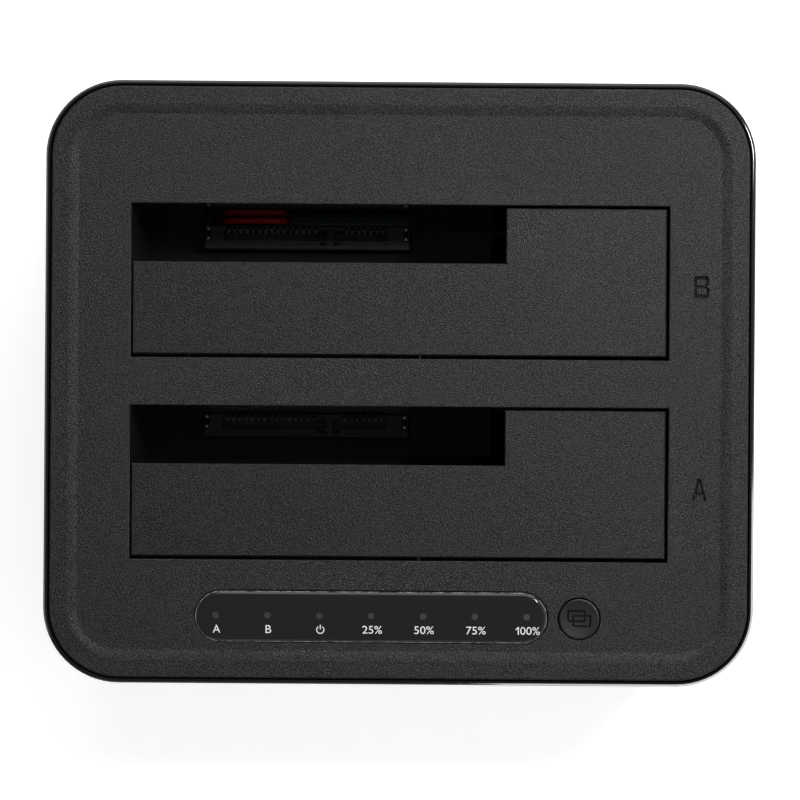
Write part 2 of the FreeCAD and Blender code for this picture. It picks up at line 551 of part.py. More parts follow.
def base_cover():
    """Shallow pan with a tongue that enters the housing, vents, standoffs and foot recesses."""
    pan = body_slab(BASE_INSET, FOOT_STAND, HOUSING_FOOT)
    pan = pan.makeFillet(BASE_ROUND, edges_at(pan, FOOT_STAND))
    tongue_out = HOUSING_WALL + TONGUE_CLEAR
    tongue = body_slab(tongue_out, HOUSING_FOOT - OVERLAP, HOUSING_FOOT + TONGUE_H)
    inside = body_slab(tongue_out + TONGUE_T, BASE_INNER, HOUSING_FOOT + TONGUE_H + CUT)
    root = BASE_INNER - OVERLAP
    posts = [rod(x, y, root, HOUSING_FOOT, POST_R) for x, y in case_screw_places()]
    posts += [rod(x, y, root, BOARD_UNDER, STANDOFF_R) for x, y in board_screw_places()]
    base = join(remove(join(pan, [tongue]), [inside]), posts)
    foot_hole, head_hole = FOOT_R + FOOT_CLEAR, CASE_SCREW["head"] + THROUGH_CLEAR
    holes = [rod(x, y, FOOT_STAND - CUT, FOOT_STAND + FOOT_SINK, foot_hole) for x, y in foot_places()]
    for x, y in case_screw_places():
        holes.append(rod(x, y, FOOT_STAND - CUT, FOOT_STAND + CASE_SCREW_SINK, head_hole))
        holes.append(rod(x, y, FOOT_STAND, HOUSING_FOOT + CUT, CASE_SCREW["shank"] + THROUGH_CLEAR))
    for x, y in board_screw_places():
        holes.append(rod(x, y, BASE_INNER, BOARD_UNDER + CUT, SMALL_PILOT_R))
    return remove(base, holes + vent_slots())


def vent_slots():
    made = []
    for row in (-1, 1):
        for n in range(VENT_COUNT):
            x = (n - (VENT_COUNT - 1) / 2) * VENT_PITCH
            made.append(stadium(VENT_W, VENT_LENGTH, FOOT_STAND - CUT, BASE_INNER + CUT, x, row * VENT_ROW_Y))
    return made


def rubber_feet():
    made = []
    for x, y in foot_places():
        foot = rod(x, y, 0, FOOT_STAND + FOOT_SINK, FOOT_R)
        made.append(foot.makeFillet(FOOT_ROUND, edges_at(foot, 0)))
    return made


def case_screws():
    seat = FOOT_STAND + CASE_SCREW_SINK
    return [screw(x, y, seat, CASE_SCREW, cross=True) for x, y in case_screw_places()]


# ================================================================ bays
def drive_well(bay):
    """Open-topped box that guides the drive, with the socket's window in its floor."""
    half, rear = BAY_W / 2, rear_edge(bay)
    inner_front = front_edge(bay) - HINGE_ROOM
    outer = slab(
        BAY_W + 2 * WELL_WALL, rear - inner_front + 2 * WELL_WALL, WELL_ROUND,
        FLOOR_Z - WELL_FLOOR, COVER_UNDER, 0, (rear + inner_front) / 2,
    )
    room = block(-half, half, inner_front, rear, FLOOR_Z, COVER_UNDER + CUT)
    well = remove(outer, [room])
    guides_back = front_edge(bay) - GUIDE_CLEAR
    spacing = BAY_W / GUIDE_COUNT
    reach = SOCKET_LENGTH / 2 + SOCKET_CLEAR
    floor_under = FLOOR_Z - WELL_FLOOR
    added = [block(SOCKET_X - reach, SOCKET_X + reach, rear, rear + WELL_WALL, floor_under - SKIRT_DROP,
                   floor_under + OVERLAP)]
    for n in range(GUIDE_COUNT):
        x = (n - (GUIDE_COUNT - 1) / 2) * spacing
        added.append(block(x - GUIDE_T / 2, x + GUIDE_T / 2, inner_front - OVERLAP, guides_back,
                           FLOOR_Z - OVERLAP, FIELD_Z - GUIDE_DROP))
    leg_y = hinge_y(bay) - COIL_R - WIRE_R - RUNNING
    leg_x = spring_far_x()
    added.append(block(leg_x - SPRING_PAD_W / 2, leg_x + SPRING_PAD_W / 2, inner_front - OVERLAP, leg_y,
                       HINGE_Z - SPRING_LEG - OVERLAP, HINGE_Z - SPRING_PAD_DROP))
    ear_z = COVER_UNDER - WELL_BOSS_H
    for x, y in well_screw_places(bay):
        root = math.copysign(half + WELL_WALL / 2, x)
        x0, x1 = sorted((x, root))
        added.append(block(x0, x1, y - EAR_W / 2, y + EAR_W / 2, ear_z - EAR_T, ear_z))
        added.append(rod(x, y, ear_z - EAR_T, ear_z, EAR_W / 2))
    holes = [rod(x, y, ear_z - EAR_T - CUT, ear_z + CUT, SMALL_HOLE_R) for x, y in well_screw_places(bay)]
    holes.append(socket_window(bay))
    reach = half + WELL_WALL + CUT
    holes.append(rod_x(-reach, reach, hinge_y(bay), HINGE_Z, PIN_R + HELD))
    holes.append(stop_window(bay))
    return remove(join(well, added), holes)


def socket_window(bay):
    x0 = SOCKET_X - SOCKET_LENGTH / 2 - SOCKET_CLEAR
    x1 = SOCKET_X + SOCKET_LENGTH / 2 + SOCKET_CLEAR
    rear = rear_edge(bay)
    return block(x0, x1, rear - SOCKET_FAR - SOCKET_CLEAR, rear, FLOOR_Z - WELL_FLOOR - CUT, FLOOR_Z + CUT)


def stop_x():
    """Middle of the stop tab, on the flap's full-depth end."""
    return (BAY_W / 2 - GAP_RIGHT + flap_notch_x()) / 2


def stop_window(bay):
    """Cut in the rear wall that the flap's stop tab swings through."""
    reach = BAY_D + STOP_REACH - GAP_REAR - HINGE_SET + STOP_SWING_END
    lowest = reach * math.sin(math.acos((BAY_D - HINGE_SET) / reach))
    half = STOP_W / 2 + STOP_SWING
    rear = rear_edge(bay)
    return block(stop_x() - half, stop_x() + half, rear - CUT, rear + WELL_WALL + CUT,
                 HINGE_Z - lowest, COVER_UNDER + CUT)


def well_screws():
    seat = COVER_UNDER - WELL_BOSS_H - EAR_T
    size = dict(SMALL_SCREW, length=WELL_BOSS_H + EAR_T - TIP_GAP)
    return [screw(x, y, seat, size) for bay in ("a", "b") for x, y in well_screw_places(bay)]


def flap_notch_x():
    return NOTCH_W - BAY_W / 2


def knuckle_places():
    reach = BAY_W / 2 - KNUCKLE_INSET
    return (-reach, 0, reach)


def spring_near_x():
    """The coil's end beside the middle knuckle, with the leg that lifts the flap."""
    return KNUCKLE_W / 2 + WIRE_R + SPRING_SIDE


def spring_far_x():
    """The coil's other end, with the leg that bears on the well."""
    return spring_near_x() + COIL_PITCH * COIL_TURNS


def bay_door(bay):
    """L-shaped flap with goose-neck hinge arms, stiffening ribs and a stop tab."""
    front, rear = front_edge(bay) + GAP_FRONT, rear_edge(bay) - GAP_REAR
    left, right = -BAY_W / 2 + GAP_LEFT, BAY_W / 2 - GAP_RIGHT
    notch_x, notch_y = flap_notch_x(), rear_edge(bay) - NOTCH_D
    under = FIELD_Z - FLAP_T
    corners = [(left, front), (right, front), (right, rear), (notch_x, rear),
               (notch_x, notch_y), (left, notch_y)]
    flap = polygon_prism([V(x, y, under) for x, y in corners], V(0, 0, FLAP_T))
    flap = flap.makeChamfer(FLAP_EDGE, edges_at(flap, FIELD_Z))
    rib_z = under - FLAP_RIB_H
    edge = FLAP_RIB_INSET
    ribs = [
        block(left + edge, notch_x, notch_y - edge - FLAP_RIB_T, notch_y - edge, rib_z, under),
        block(notch_x + edge, notch_x + edge + FLAP_RIB_T, front + LONG_RIB_FRONT, rear - edge, rib_z, under),
    ]
    for x in knuckle_places():
        ribs.append(block(x - FLAP_RIB_T / 2, x + FLAP_RIB_T / 2, front + SHORT_RIB_FRONT, notch_y - edge,
                          rib_z, under))
    leg_x, leg_top = spring_near_x(), HINGE_Z + COIL_R + WIRE_R + RUNNING
    ribs.append(block(leg_x - SPRING_PAD_W / 2, leg_x + SPRING_PAD_W / 2, front + SPRING_PAD_FRONT,
                      front + SPRING_LEG, leg_top, under))
    arms = [hinge_arm(bay, x) for x in knuckle_places()]
    door = join(flap, ribs + arms + [stop_tab(bay)])
    bore = rod_x(left - CUT, right + CUT, hinge_y(bay), HINGE_Z, PIN_R + RUNNING)
    return remove(door, [bore])


def hinge_arm(bay, x):
    """Goose neck from the knuckle on the pin, under the cover's edge, up to the flap."""
    y, z = hinge_y(bay), HINGE_Z
    front, under = front_edge(bay) + GAP_FRONT, FIELD_Z - FLAP_T
    x0 = x - KNUCKLE_W / 2
    knuckle = rod_x(x0, x0 + KNUCKLE_W, y, z, KNUCKLE_R)
    neck_top = COVER_UNDER - ARM_UNDER_COVER
    profile = [
        V(x0, y, z + KNUCKLE_R - RUNNING), V(x0, front, neck_top), V(x0, front, under),
        V(x0, front + ARM_REACH, under), V(x0, front + ARM_REACH - ARM_TAPER, under - ARM_T),
        V(x0, y + KNUCKLE_R * ARM_FOOT[0], z + KNUCKLE_R * ARM_FOOT[1]), V(x0, y, z),
    ]
    neck = polygon_prism(profile, V(KNUCKLE_W, 0, 0))
    return knuckle.fuse(neck)


def stop_tab(bay):
    """Tab under the cover's rear edge that stops the flap when it is flush."""
    rear = rear_edge(bay) - GAP_REAR
    x0, x1 = stop_x() - STOP_W / 2, stop_x() + STOP_W / 2
    top = COVER_UNDER - STOP_CLEAR
    under = FIELD_Z - FLAP_T
    tongue = block(x0, x1, rear - STOP_ROOT, rear + STOP_REACH, top - STOP_T, top)
    root = block(x0, x1, rear - STOP_ROOT, rear - STOP_STEP, top - STOP_T, under)
    return tongue.fuse(root)


def door_pin(bay):
    """Steel hinge pin held in the well's side walls, headed at its left end."""
    reach = BAY_W / 2 + WELL_WALL
    pin = rod_x(-reach, reach + PIN_TAIL, hinge_y(bay), HINGE_Z, PIN_R)
    head = rod_x(-reach - PIN_HEAD_T, -reach, hinge_y(bay), HINGE_Z, PIN_HEAD_R)
    return pin.fuse(head)


def door_spring(bay):
    """Torsion spring on the pin: one leg down the well's front wall, the other under the flap."""
    helix = Part.makeHelix(COIL_PITCH, COIL_PITCH * COIL_TURNS, COIL_R)
    start = V(COIL_R, 0, 0)
    tangent = V(0, 2 * math.pi * COIL_R, COIL_PITCH).normalize()
    ring = Part.Wire(Part.makeCircle(WIRE_R, start, tangent))
    coil = Part.Wire(helix).makePipeShell([ring], True, True)
    turn = 2 * math.pi * COIL_TURNS
    end = V(COIL_R * math.cos(turn), COIL_R * math.sin(turn), COIL_PITCH * COIL_TURNS)
    spring = coil.multiFuse([
        Part.makeCylinder(WIRE_R, SPRING_LEG, start, V(0, -1, 0)),
        Part.makeSphere(WIRE_R, start),
        Part.makeCylinder(WIRE_R, SPRING_LEG, end, V(-math.sin(turn), math.cos(turn), 0)),
        Part.makeSphere(WIRE_R, end),
    ])
    spring.Placement = FreeCAD.Placement(FreeCAD.Matrix(
        0, 0, -1, spring_far_x(),
        -1, 0, 0, hinge_y(bay),
        0, 1, 0, HINGE_Z,
        0, 0, 0, 1,
    ))
    return spring


# ================================================================ drive sockets
def first_power_pin():
    span = (POWER_PINS - 1 + SIGNAL_PINS - 1) * PIN_PITCH + SEGMENT_GAP
    return SOCKET_X + PIN_ROW_SHIFT - span / 2


def pin_places():
    start = first_power_pin()
    power = [start + n * PIN_PITCH for n in range(POWER_PINS)]
    signal = [power[-1] + SEGMENT_GAP + n * PIN_PITCH for n in range(SIGNAL_PINS)]
    return power, signal


def sata_socket(bay):
    """Upright receptacle: two keyed slots, a groove for each contact, and its standing foot."""
    rear = rear_edge(bay)
    x0, x1 = SOCKET_X - SOCKET_LENGTH / 2, SOCKET_X + SOCKET_LENGTH / 2
    foot_gap = CONTACT_T + TAIL_CLEAR
    body = block(x0, x1, rear - SOCKET_FAR, rear - SOCKET_NEAR, BOARD_TOP + foot_gap, MOUTH_Z)
    body = body.makeChamfer(SOCKET_EDGE, edges_at(body, MOUTH_Z))
    feet = [
        block(x, x + SOCKET_FOOT, rear - SOCKET_FAR, rear - SOCKET_NEAR, BOARD_TOP, BOARD_TOP + foot_gap)
        for x in (x0, x1 - SOCKET_FOOT)
    ]
    power, signal = pin_places()
    floor = MOUTH_Z - SLOT_DEEP
    slot_y0, slot_y1 = rear - SLOT_FAR, rear - SLOT_NEAR
    cuts = []
    for near, far, key in (
        (power[0] - PIN_END, power[-1] + PIN_KEY_END, power[-1] + PIN_KEY_END - KEY_W),
        (signal[0] - PIN_KEY_END, signal[-1] + PIN_END, signal[0] - PIN_KEY_END),
    ):
        cuts.append(block(near, far, slot_y0, slot_y1, floor, MOUTH_Z + CUT))
        cuts.append(block(key, key + KEY_W, slot_y0 - KEY_DEPTH, slot_y0, floor, MOUTH_Z + CUT))
    for x in power + signal:
        cuts.append(block(x - GROOVE_W / 2, x + GROOVE_W / 2, slot_y1, slot_y1 + GROOVE_DEEP,
                          BOARD_TOP, MOUTH_Z + CUT))
    half = LOCK_T / 2 + LOCK_CLEAR
    for x in lock_places():
        cuts.append(block(x - half, x + half, rear - LOCK_FAR - LOCK_CLEAR, rear - LOCK_NEAR + LOCK_CLEAR,
                          BOARD_TOP, MOUTH_Z + CUT))
    return remove(join(body, feet), cuts)


def sata_contacts(bay):
    """One bent strip for each pin: solder tail, upright spring and the bulge that grips the drive."""
    rear = rear_edge(bay)
    back, tail_z = rear - SLOT_NEAR + GROOVE_DEEP - CONTACT_SET, BOARD_TOP + CONTACT_T
    profile = [(rear - CONTACT_TAIL, tail_z), (back, tail_z)]
    profile += [(back - forward, MOUTH_Z - below) for forward, below in CONTACT_BENDS]
    made = []
    power, signal = pin_places()
    for x in power + signal:
        points = [(x - CONTACT_W / 2, y, z) for y, z in profile]
        made.append(strip(points, CONTACT_T, V(CONTACT_W, 0, 0)))
    return made


def lock_places():
    reach = SOCKET_LENGTH / 2 - LOCK_INSET
    return (SOCKET_X - reach, SOCKET_X + reach)


def socket_locks():
    """Forked steel pegs at the sockets' ends, soldered to the board."""
    made = []
    for bay in ("a", "b"):
        near, far = rear_edge(bay) - LOCK_FAR, rear_edge(bay) - LOCK_NEAR
        for x in lock_places():
            x0, x1 = x - LOCK_T / 2, x + LOCK_T / 2
            peg = block(x0, x1, near, far, BOARD_TOP, MOUTH_Z)
            fork = block(x0 - CUT, x1 + CUT, near + LOCK_PRONG, far - LOCK_PRONG, MOUTH_Z - LOCK_FORK,
                         MOUTH_Z + CUT)
            made.append(peg.cut(fork))
    return made


# ================================================================ main board
def main_board():
    middle = (BOARD_Y0 + BOARD_Y1) / 2
    board = slab(BOARD_W, BOARD_Y1 - BOARD_Y0, BOARD_ROUND, BOARD_UNDER, BOARD_TOP, 0, middle)
    return remove(board, [
        rod(x, y, BOARD_UNDER - CUT, BOARD_TOP + CUT, SMALL_HOLE_R) for x, y in board_screw_places()
    ])


def board_screws():
    return [screw(x, y, BOARD_TOP, SMALL_SCREW, upward=False) for x, y in board_screw_places()]


def chip(x, y, size):
    width, depth, height = size
    body = block(x - width / 2, x + width / 2, y - depth / 2, y + depth / 2, BOARD_TOP, BOARD_TOP + height)
    return body.makeChamfer(CHIP_EDGE, edges_at(body, BOARD_TOP + height))


def bridge_chip():
    return chip(BRIDGE_X, bay_middle("b"), BRIDGE_CHIP)


def regulator_chips():
    made = [chip(JACK_X + x, bay_middle("b") + y, REGULATOR) for x, y in REGULATOR_PLACES]
    return made + [chip(CONVERTER_X, CONVERTER_Y, CONVERTER)]


def power_inductors():
    return [chip(JACK_X + x, bay_middle("b") + y, INDUCTOR) for x, y in INDUCTOR_PLACES]


def clock_crystal():
    top = BOARD_TOP + CRYSTAL_H
    y = bay_middle("b") + CRYSTAL_SHIFT
    can = slab(CRYSTAL_W, CRYSTAL_D, CRYSTAL_ROUND, BOARD_TOP, top, CRYSTAL_X, y)
    return can.makeFillet(CRYSTAL_EDGE, edges_at(can, top))


def filter_capacitors():
    """Electrolytic cans standing behind bay B, between the ports."""
    made = []
    y, top = (rear_edge("b") + WELL_WALL + PANEL_INNER) / 2, BOARD_TOP + CAPACITOR_H
    for x in CAPACITOR_PLACES:
        can = rod(JACK_X + x, y, BOARD_TOP, top, CAPACITOR_R)
        made.append(can.makeFillet(CAPACITOR_EDGE, edges_at(can, top)))
    return made


# ================================================================ ports
def jack_z():
    return BOARD_TOP + JACK_H / 2


def dc_jack_body():
    y1 = PANEL_INNER - JACK_GAP
    case = block(JACK_X - JACK_W / 2, JACK_X + JACK_W / 2, y1 - JACK_LENGTH, y1, BOARD_TOP,
                 BOARD_TOP + JACK_H)
    nose = rod_y(JACK_X, y1, PANEL_FACE, jack_z(), JACK_NOSE_R)
    bore = rod_y(JACK_X, PANEL_FACE - JACK_BORE_DEEP, PANEL_FACE + CUT, jack_z(), JACK_BORE_R)
    seat = rod_y(JACK_X, PANEL_FACE - JACK_BORE_DEEP - JACK_PIN_SEAT, PANEL_FACE, jack_z(), JACK_PIN_R)
    return remove(case.fuse(nose), [bore, seat])


def dc_jack_pin():
    y0 = PANEL_FACE - JACK_BORE_DEEP - JACK_PIN_SEAT
    y1 = PANEL_FACE - JACK_PIN_SINK
    pin = rod_y(JACK_X, y0, y1, jack_z(), JACK_PIN_R)
    tip = [e for e in pin.Edges if e.BoundBox.YMin > y1 - JACK_PIN_ROUND]
    return pin.makeFillet(JACK_PIN_ROUND, tip)


def usb_z():
    return BOARD_TOP + USB_H / 2


def usb_opening(y0, y1):
    """The two-step mouth of the port: a wide lower part and a narrower upper one."""
    foot = usb_z() - USB_HIGH_H / 2
    lower = upright_slab(USB_LOW_W, USB_LOW_H, USB_ROUND, y0, y1, USB_X, foot + USB_LOW_H / 2)
    upper = upright_slab(USB_HIGH_W, USB_HIGH_H, USB_ROUND, y0, y1, USB_X, usb_z())
    return lower.fuse(upper)


def usb_shell():
    """Folded metal can round the port, open at the rear panel and over the board."""
    y0 = PORT_END - USB_LENGTH
    outer = upright_slab(USB_W, USB_H, SHELL_ROUND, y0, PORT_END, USB_X, usb_z())
    inner = block(USB_X - USB_W / 2 + SHELL_T, USB_X + USB_W / 2 - SHELL_T, y0 - CUT, PORT_END - SHELL_T,
                  BOARD_TOP - CUT, BOARD_TOP + USB_H - SHELL_T)
    return remove(outer, [inner, usb_opening(PORT_END - CUT, PORT_END + CUT)])


def usb_core():
    """Plastic core: back block and the two tongues that carry the contacts."""
    y0, y1 = PORT_END - USB_LENGTH, PORT_END - SHELL_T - CORE_GAP
    half, top = USB_W / 2 - SHELL_T, BOARD_TOP + USB_H - SHELL_T
    mouth_end = PORT_END - USB_DEPTH
    core = block(USB_X - half, USB_X + half, y0, mouth_end, BOARD_TOP, top)
    liner = block(USB_X - half, USB_X + half, mouth_end, y1, BOARD_TOP, top)
    liner = liner.cut(usb_opening(mouth_end - CUT, y1 + CUT))
    foot = usb_z() - USB_HIGH_H / 2
    tongues = [
        block(USB_X - width / 2, USB_X + width / 2, mouth_end, y1 - USB_TONGUE_SINK, foot + low, foot + high)
        for width, low, high in USB_TONGUES
    ]
    return join(core, [liner] + tongues)


def switch_frame_y():
    return PANEL_FACE + BEZEL_T


def switch_pivot_y():
    face = switch_frame_y() - ROCKER_SINK
    return face - ROCKER_DEEP * math.cos(math.radians(ROCKER_TILT))


def power_switch_body():
    """Snap-in rocker switch: bezel on the panel, box behind it."""
    bezel = upright_slab(SWITCH_BODY_W + 2 * BEZEL_LIP, SWITCH_BODY_H + 2 * BEZEL_LIP, BEZEL_ROUND,
                         PANEL_FACE, switch_frame_y(), SWITCH_X, SWITCH_Z)
    outside = [e for e in bezel.Edges if e.BoundBox.YMin > switch_frame_y() - 1e-3]
    bezel = bezel.makeFillet(BEZEL_EDGE, outside)
    case = upright_slab(SWITCH_BODY_W, SWITCH_BODY_H, SWITCH_ROUND, PANEL_FACE - SWITCH_BODY_D,
                        PANEL_FACE + OVERLAP, SWITCH_X, SWITCH_Z)
    room_w, room_h = SWITCH_BODY_W - ROCKER_SIDE, ROCKER_H + 2 * ROCKER_CLEAR
    room = block(SWITCH_X - room_w / 2, SWITCH_X + room_w / 2, switch_pivot_y() - ROCKER_ROOM,
                 switch_frame_y() + CUT, SWITCH_Z - room_h / 2, SWITCH_Z + room_h / 2)
    reach = ROCKER_H / 2 + TRUNNION_LENGTH + RUNNING
    axle = rod(SWITCH_X, switch_pivot_y(), SWITCH_Z - reach, SWITCH_Z + reach, TRUNNION_R + RUNNING)
    return remove(bezel.fuse(case), [room, axle] + terminal_blocks(HELD))


def terminal_blocks(grow):
    back = PANEL_FACE - SWITCH_BODY_D
    y0, y1 = back - BLADE_OUT, back + BLADE_SEAT + grow
    half_w, half_t = BLADE_W / 2 + grow, BLADE_T / 2 + grow
    return [
        block(SWITCH_X + x - half_w, SWITCH_X + x + half_w, y0, y1, SWITCH_Z - half_t, SWITCH_Z + half_t)
        for x in (-BLADE_SPREAD, BLADE_SPREAD)
    ]


def power_switch_terminals():
    return terminal_blocks(0)


def power_rocker():
    """Two-facet rocker on trunnions, resting with its right half pressed."""
    half, lift = ROCKER_W / 2, ROCKER_W / 2 * math.tan(math.radians(ROCKER_TILT))
    y, z0 = switch_pivot_y(), SWITCH_Z - ROCKER_H / 2
    face, root = ROCKER_DEEP + lift, ROCKER_ROOT_W / 2
    profile = [
        (-half, face), (0, ROCKER_DEEP), (half, face), (half, face - ROCKER_RIM),
        (root, -ROCKER_ROOT_DEEP), (-root, -ROCKER_ROOT_DEEP), (-half, face - ROCKER_RIM),
    ]
    rocker = polygon_prism([V(SWITCH_X + x, y + d, z0) for x, d in profile], V(0, 0, ROCKER_H))
    axle = rod(SWITCH_X, y, z0 - TRUNNION_LENGTH, z0 + ROCKER_H + TRUNNION_LENGTH, TRUNNION_R)
    rocker = rocker.fuse(axle)
    rocker.rotate(V(SWITCH_X, y, 0), Z_AXIS, -ROCKER_TILT)
    return rocker


def power_leads():
    """Two insulated leads from the switch's blades to the board; one humps up behind bay B's socket."""
    blade = (PANEL_FACE - SWITCH_BODY_D - BLADE_OUT + BLADE_SEAT, SWITCH_Z - BLADE_T / 2 - RUNNING)
    low, wall = BOARD_TOP + LEAD_LIE, rear_edge("b")
    slit = wall - SOCKET_NEAR / 2
    left, right = SWITCH_X - BLADE_SPREAD, SWITCH_X + BLADE_SPREAD
    crest = MOUTH_Z + LEAD_CREST
    start, rise, up, over, down = [left + x for x in (0,) + LEAD_HUMP]
    near = [
        (start, blade[0], blade[1]), (start, blade[0] - LEAD_FALL, low + LEAD_RISE),
        (rise, wall + LEAD_BACK, low), (rise, slit, low), (up, slit, crest), (over, slit, crest),
        (down, slit, low), (down, wall + LEAD_BACK, low), (down, wall + LEAD_ENTRY, BOARD_TOP - CUT),
    ]
    aside, last, end = [right + x for x in FAR_LEAD_TURNS]
    far = [
        (right, blade[0], blade[1]), (right, blade[0] - LEAD_FALL, low + LEAD_RISE),
        (aside, wall + LEAD_ENTRY, low), (last, wall + LEAD_ENTRY, low),
        (end, wall + LEAD_ENTRY, BOARD_TOP - CUT),
    ]
    under = block(-HALF_W, HALF_W, -HALF_D, HALF_D, 0, BOARD_TOP)
    return [round_wire(points, LEAD_R, LEAD_BEND).cut(under) for points in (near, far)]


# ================================================================ indicators and clone button
def indicator_lens():
    """Gloss window with a rounded edge, seven light holes and a gluing flange."""
    length, width = LENS_SLOT_L - 2 * LENS_CLEAR, LENS_SLOT_W - 2 * LENS_CLEAR
    top = FIELD_Z + LENS_PROUD
    foot = COVER_UNDER - LENS_FLANGE_T
    lens = stadium(length, width, foot, top, LENS_X, LENS_Y)
    lens = lens.makeFillet(LENS_ROUND, edges_at(lens, top))
    length, width = LENS_SLOT_L + 2 * LENS_FLANGE, LENS_SLOT_W + 2 * LENS_FLANGE
    lens = lens.fuse(stadium(length, width, foot, COVER_UNDER, LENS_X, LENS_Y))
    return remove(lens, [
        rod(x, LED_Y, foot - CUT, top + CUT, PIPE_R + RUNNING) for x in led_places()
    ])


def led_places():
    return [LENS_X + (n - (LED_COUNT - 1) / 2) * LED_PITCH for n in range(LED_COUNT)]


def light_pipes():
    """Seven clear rods on one carrier bar, from the lamps up into the lens."""
    foot = INDICATOR_TOP + LED_H + LED_GAP
    bar_z = (foot + COVER_UNDER - LENS_FLANGE_T) / 2
    reach = (LED_COUNT - 1) / 2 * LED_PITCH + PIPE_BAR_END
    bar = block(LENS_X - reach, LENS_X + reach, LED_Y - PIPE_BAR_D / 2, LED_Y + PIPE_BAR_D / 2,
                bar_z - PIPE_BAR_T / 2, bar_z + PIPE_BAR_T / 2)
    rods = [rod(x, LED_Y, foot, FIELD_Z + LENS_PROUD - RUNNING, PIPE_R) for x in led_places()]
    return join(bar, rods)


def indicator_lamps():
    return [
        block(x - LED_W / 2, x + LED_W / 2, LED_Y - LED_D / 2, LED_Y + LED_D / 2,
              INDICATOR_TOP, INDICATOR_TOP + LED_H)
        for x in led_places()
    ]


def indicator_board():
    board = block(PANEL_BOARD_X0, PANEL_BOARD_X1, LENS_Y - PANEL_BOARD_D / 2, LENS_Y + PANEL_BOARD_D / 2,
                  INDICATOR_UNDER, INDICATOR_TOP)
    return remove(board, [
        rod(x, y, INDICATOR_UNDER - CUT, INDICATOR_TOP + CUT, SMALL_HOLE_R)
        for x, y in indicator_screw_places()
    ])


def indicator_board_screws():
    return [screw(x, y, INDICATOR_UNDER, SMALL_SCREW) for x, y in indicator_screw_places()]


def plunger_top():
    return INDICATOR_TOP + TACT_H + TACT_PROUD


def clone_switch():
    half = TACT_W / 2
    body = block(BUTTON_X - half, BUTTON_X + half, BUTTON_Y - half, BUTTON_Y + half,
                 INDICATOR_TOP, INDICATOR_TOP + TACT_H)
    well = rod(BUTTON_X, BUTTON_Y, INDICATOR_TOP + TACT_H - TACT_DEEP, INDICATOR_TOP + TACT_H + CUT,
               TACT_PLUNGER_R + TACT_CLEAR)
    return body.cut(well)


def clone_switch_plunger():
    foot = INDICATOR_TOP + TACT_H - TACT_DEEP + TACT_STROKE
    return rod(BUTTON_X, BUTTON_Y, foot, plunger_top(), TACT_PLUNGER_R)


def clone_button():
    """Round button with a dished top, a retaining flange and a stem onto the switch."""
    top, foot = FIELD_Z + BUTTON_PROUD, COVER_UNDER - BUTTON_FLANGE_T
    cap = rod(BUTTON_X, BUTTON_Y, foot, top, BUTTON_R)
    cap = cap.makeFillet(BUTTON_ROUND, edges_at(cap, top))
    flange = rod(BUTTON_X, BUTTON_Y, foot, COVER_UNDER, BUTTON_HOLE_R + BUTTON_FLANGE)
    stem = rod(BUTTON_X, BUTTON_Y, plunger_top(), foot + OVERLAP, BUTTON_STEM_R)
    reach = BUTTON_R - BUTTON_RIM
    ball = (reach ** 2 + BUTTON_DISH ** 2) / (2 * BUTTON_DISH)
    dish = Part.makeSphere(ball, V(BUTTON_X, BUTTON_Y, top - BUTTON_DISH + ball))
    return join(cap, [flange, stem]).cut(dish)


def header_y():
    """Front faces of the plug housings, one above the other."""
    return LENS_Y + PANEL_BOARD_D / 2 - HEADER_GAP - HEADER_D


def cable_headers():
    """Plug housings at both ends of the ribbon."""
    y0 = header_y()
    return [
        block(CABLE_X - HEADER_W / 2, CABLE_X + HEADER_W / 2, y0, y0 + HEADER_D, z0, z0 + HEADER_H)
        for z0 in (BOARD_TOP, INDICATOR_UNDER - HEADER_H)
    ]


def indicator_cable():
    """Flat ribbon between the boards, bowed forward once."""
    low, high = BOARD_TOP + HEADER_H, INDICATOR_UNDER - HEADER_H
    x0, y, half = CABLE_X - CABLE_W / 2, header_y() + HEADER_D / 2, CABLE_T / 2

    def bow(offset):
        ends = V(x0, y + offset, low), V(x0, y + offset, high)
        return Part.Arc(ends[0], V(x0, y - CABLE_BOW + offset, (low + high) / 2), ends[1]).toShape()

    outline = Part.Wire(Part.__sortEdges__([
        bow(-half), Part.makeLine(V(x0, y - half, high), V(x0, y + half, high)),
        bow(half), Part.makeLine(V(x0, y - half, low), V(x0, y + half, low)),
    ]))
    return Part.Face(outline).extrude(V(CABLE_W, 0, 0))


# ================================================================ export
NODES = {
    "top_cover": top_cover,
    "housing": housing,
    "base_cover": base_cover,
    "rubber_feet": rubber_feet,
    "case_screws": case_screws,
    "cover_screws": cover_screws,
    "well_screws": well_screws,
    "socket_locks": socket_locks,
    "main_board": main_board,
    "board_screws": board_screws,
    "bridge_chip": bridge_chip,
    "regulator_chips": regulator_chips,
    "power_inductors": power_inductors,
    "clock_crystal": clock_crystal,
    "filter_capacitors": filter_capacitors,
    "dc_jack_body": dc_jack_body,
    "dc_jack_pin": dc_jack_pin,
    "usb_shell": usb_shell,
    "usb_core": usb_core,
    "power_switch_body": power_switch_body,
    "power_switch_terminals": power_switch_terminals,
    "power_rocker": power_rocker,
    "power_leads": power_leads,
    "indicator_lens": indicator_lens,
    "light_pipes": light_pipes,
    "indicator_lamps": indicator_lamps,
    "indicator_board": indicator_board,
    "indicator_board_screws": indicator_board_screws,
    "clone_switch": clone_switch,
    "clone_switch_plunger": clone_switch_plunger,
    "clone_button": clone_button,
    "cable_headers": cable_headers,
    "indicator_cable": indicator_cable,
}
BAY_NODES = {
    "drive_well": drive_well,
    "bay_door": bay_door,
    "door_pin": door_pin,
    "door_spring": door_spring,
    "sata_socket": sata_socket,
    "sata_contacts": sata_contacts,
}


def write(name, made):
    shape = Part.makeCompound(made) if isinstance(made, list) else made
    shape.exportStep(os.path.join("parts", name + ".step"))


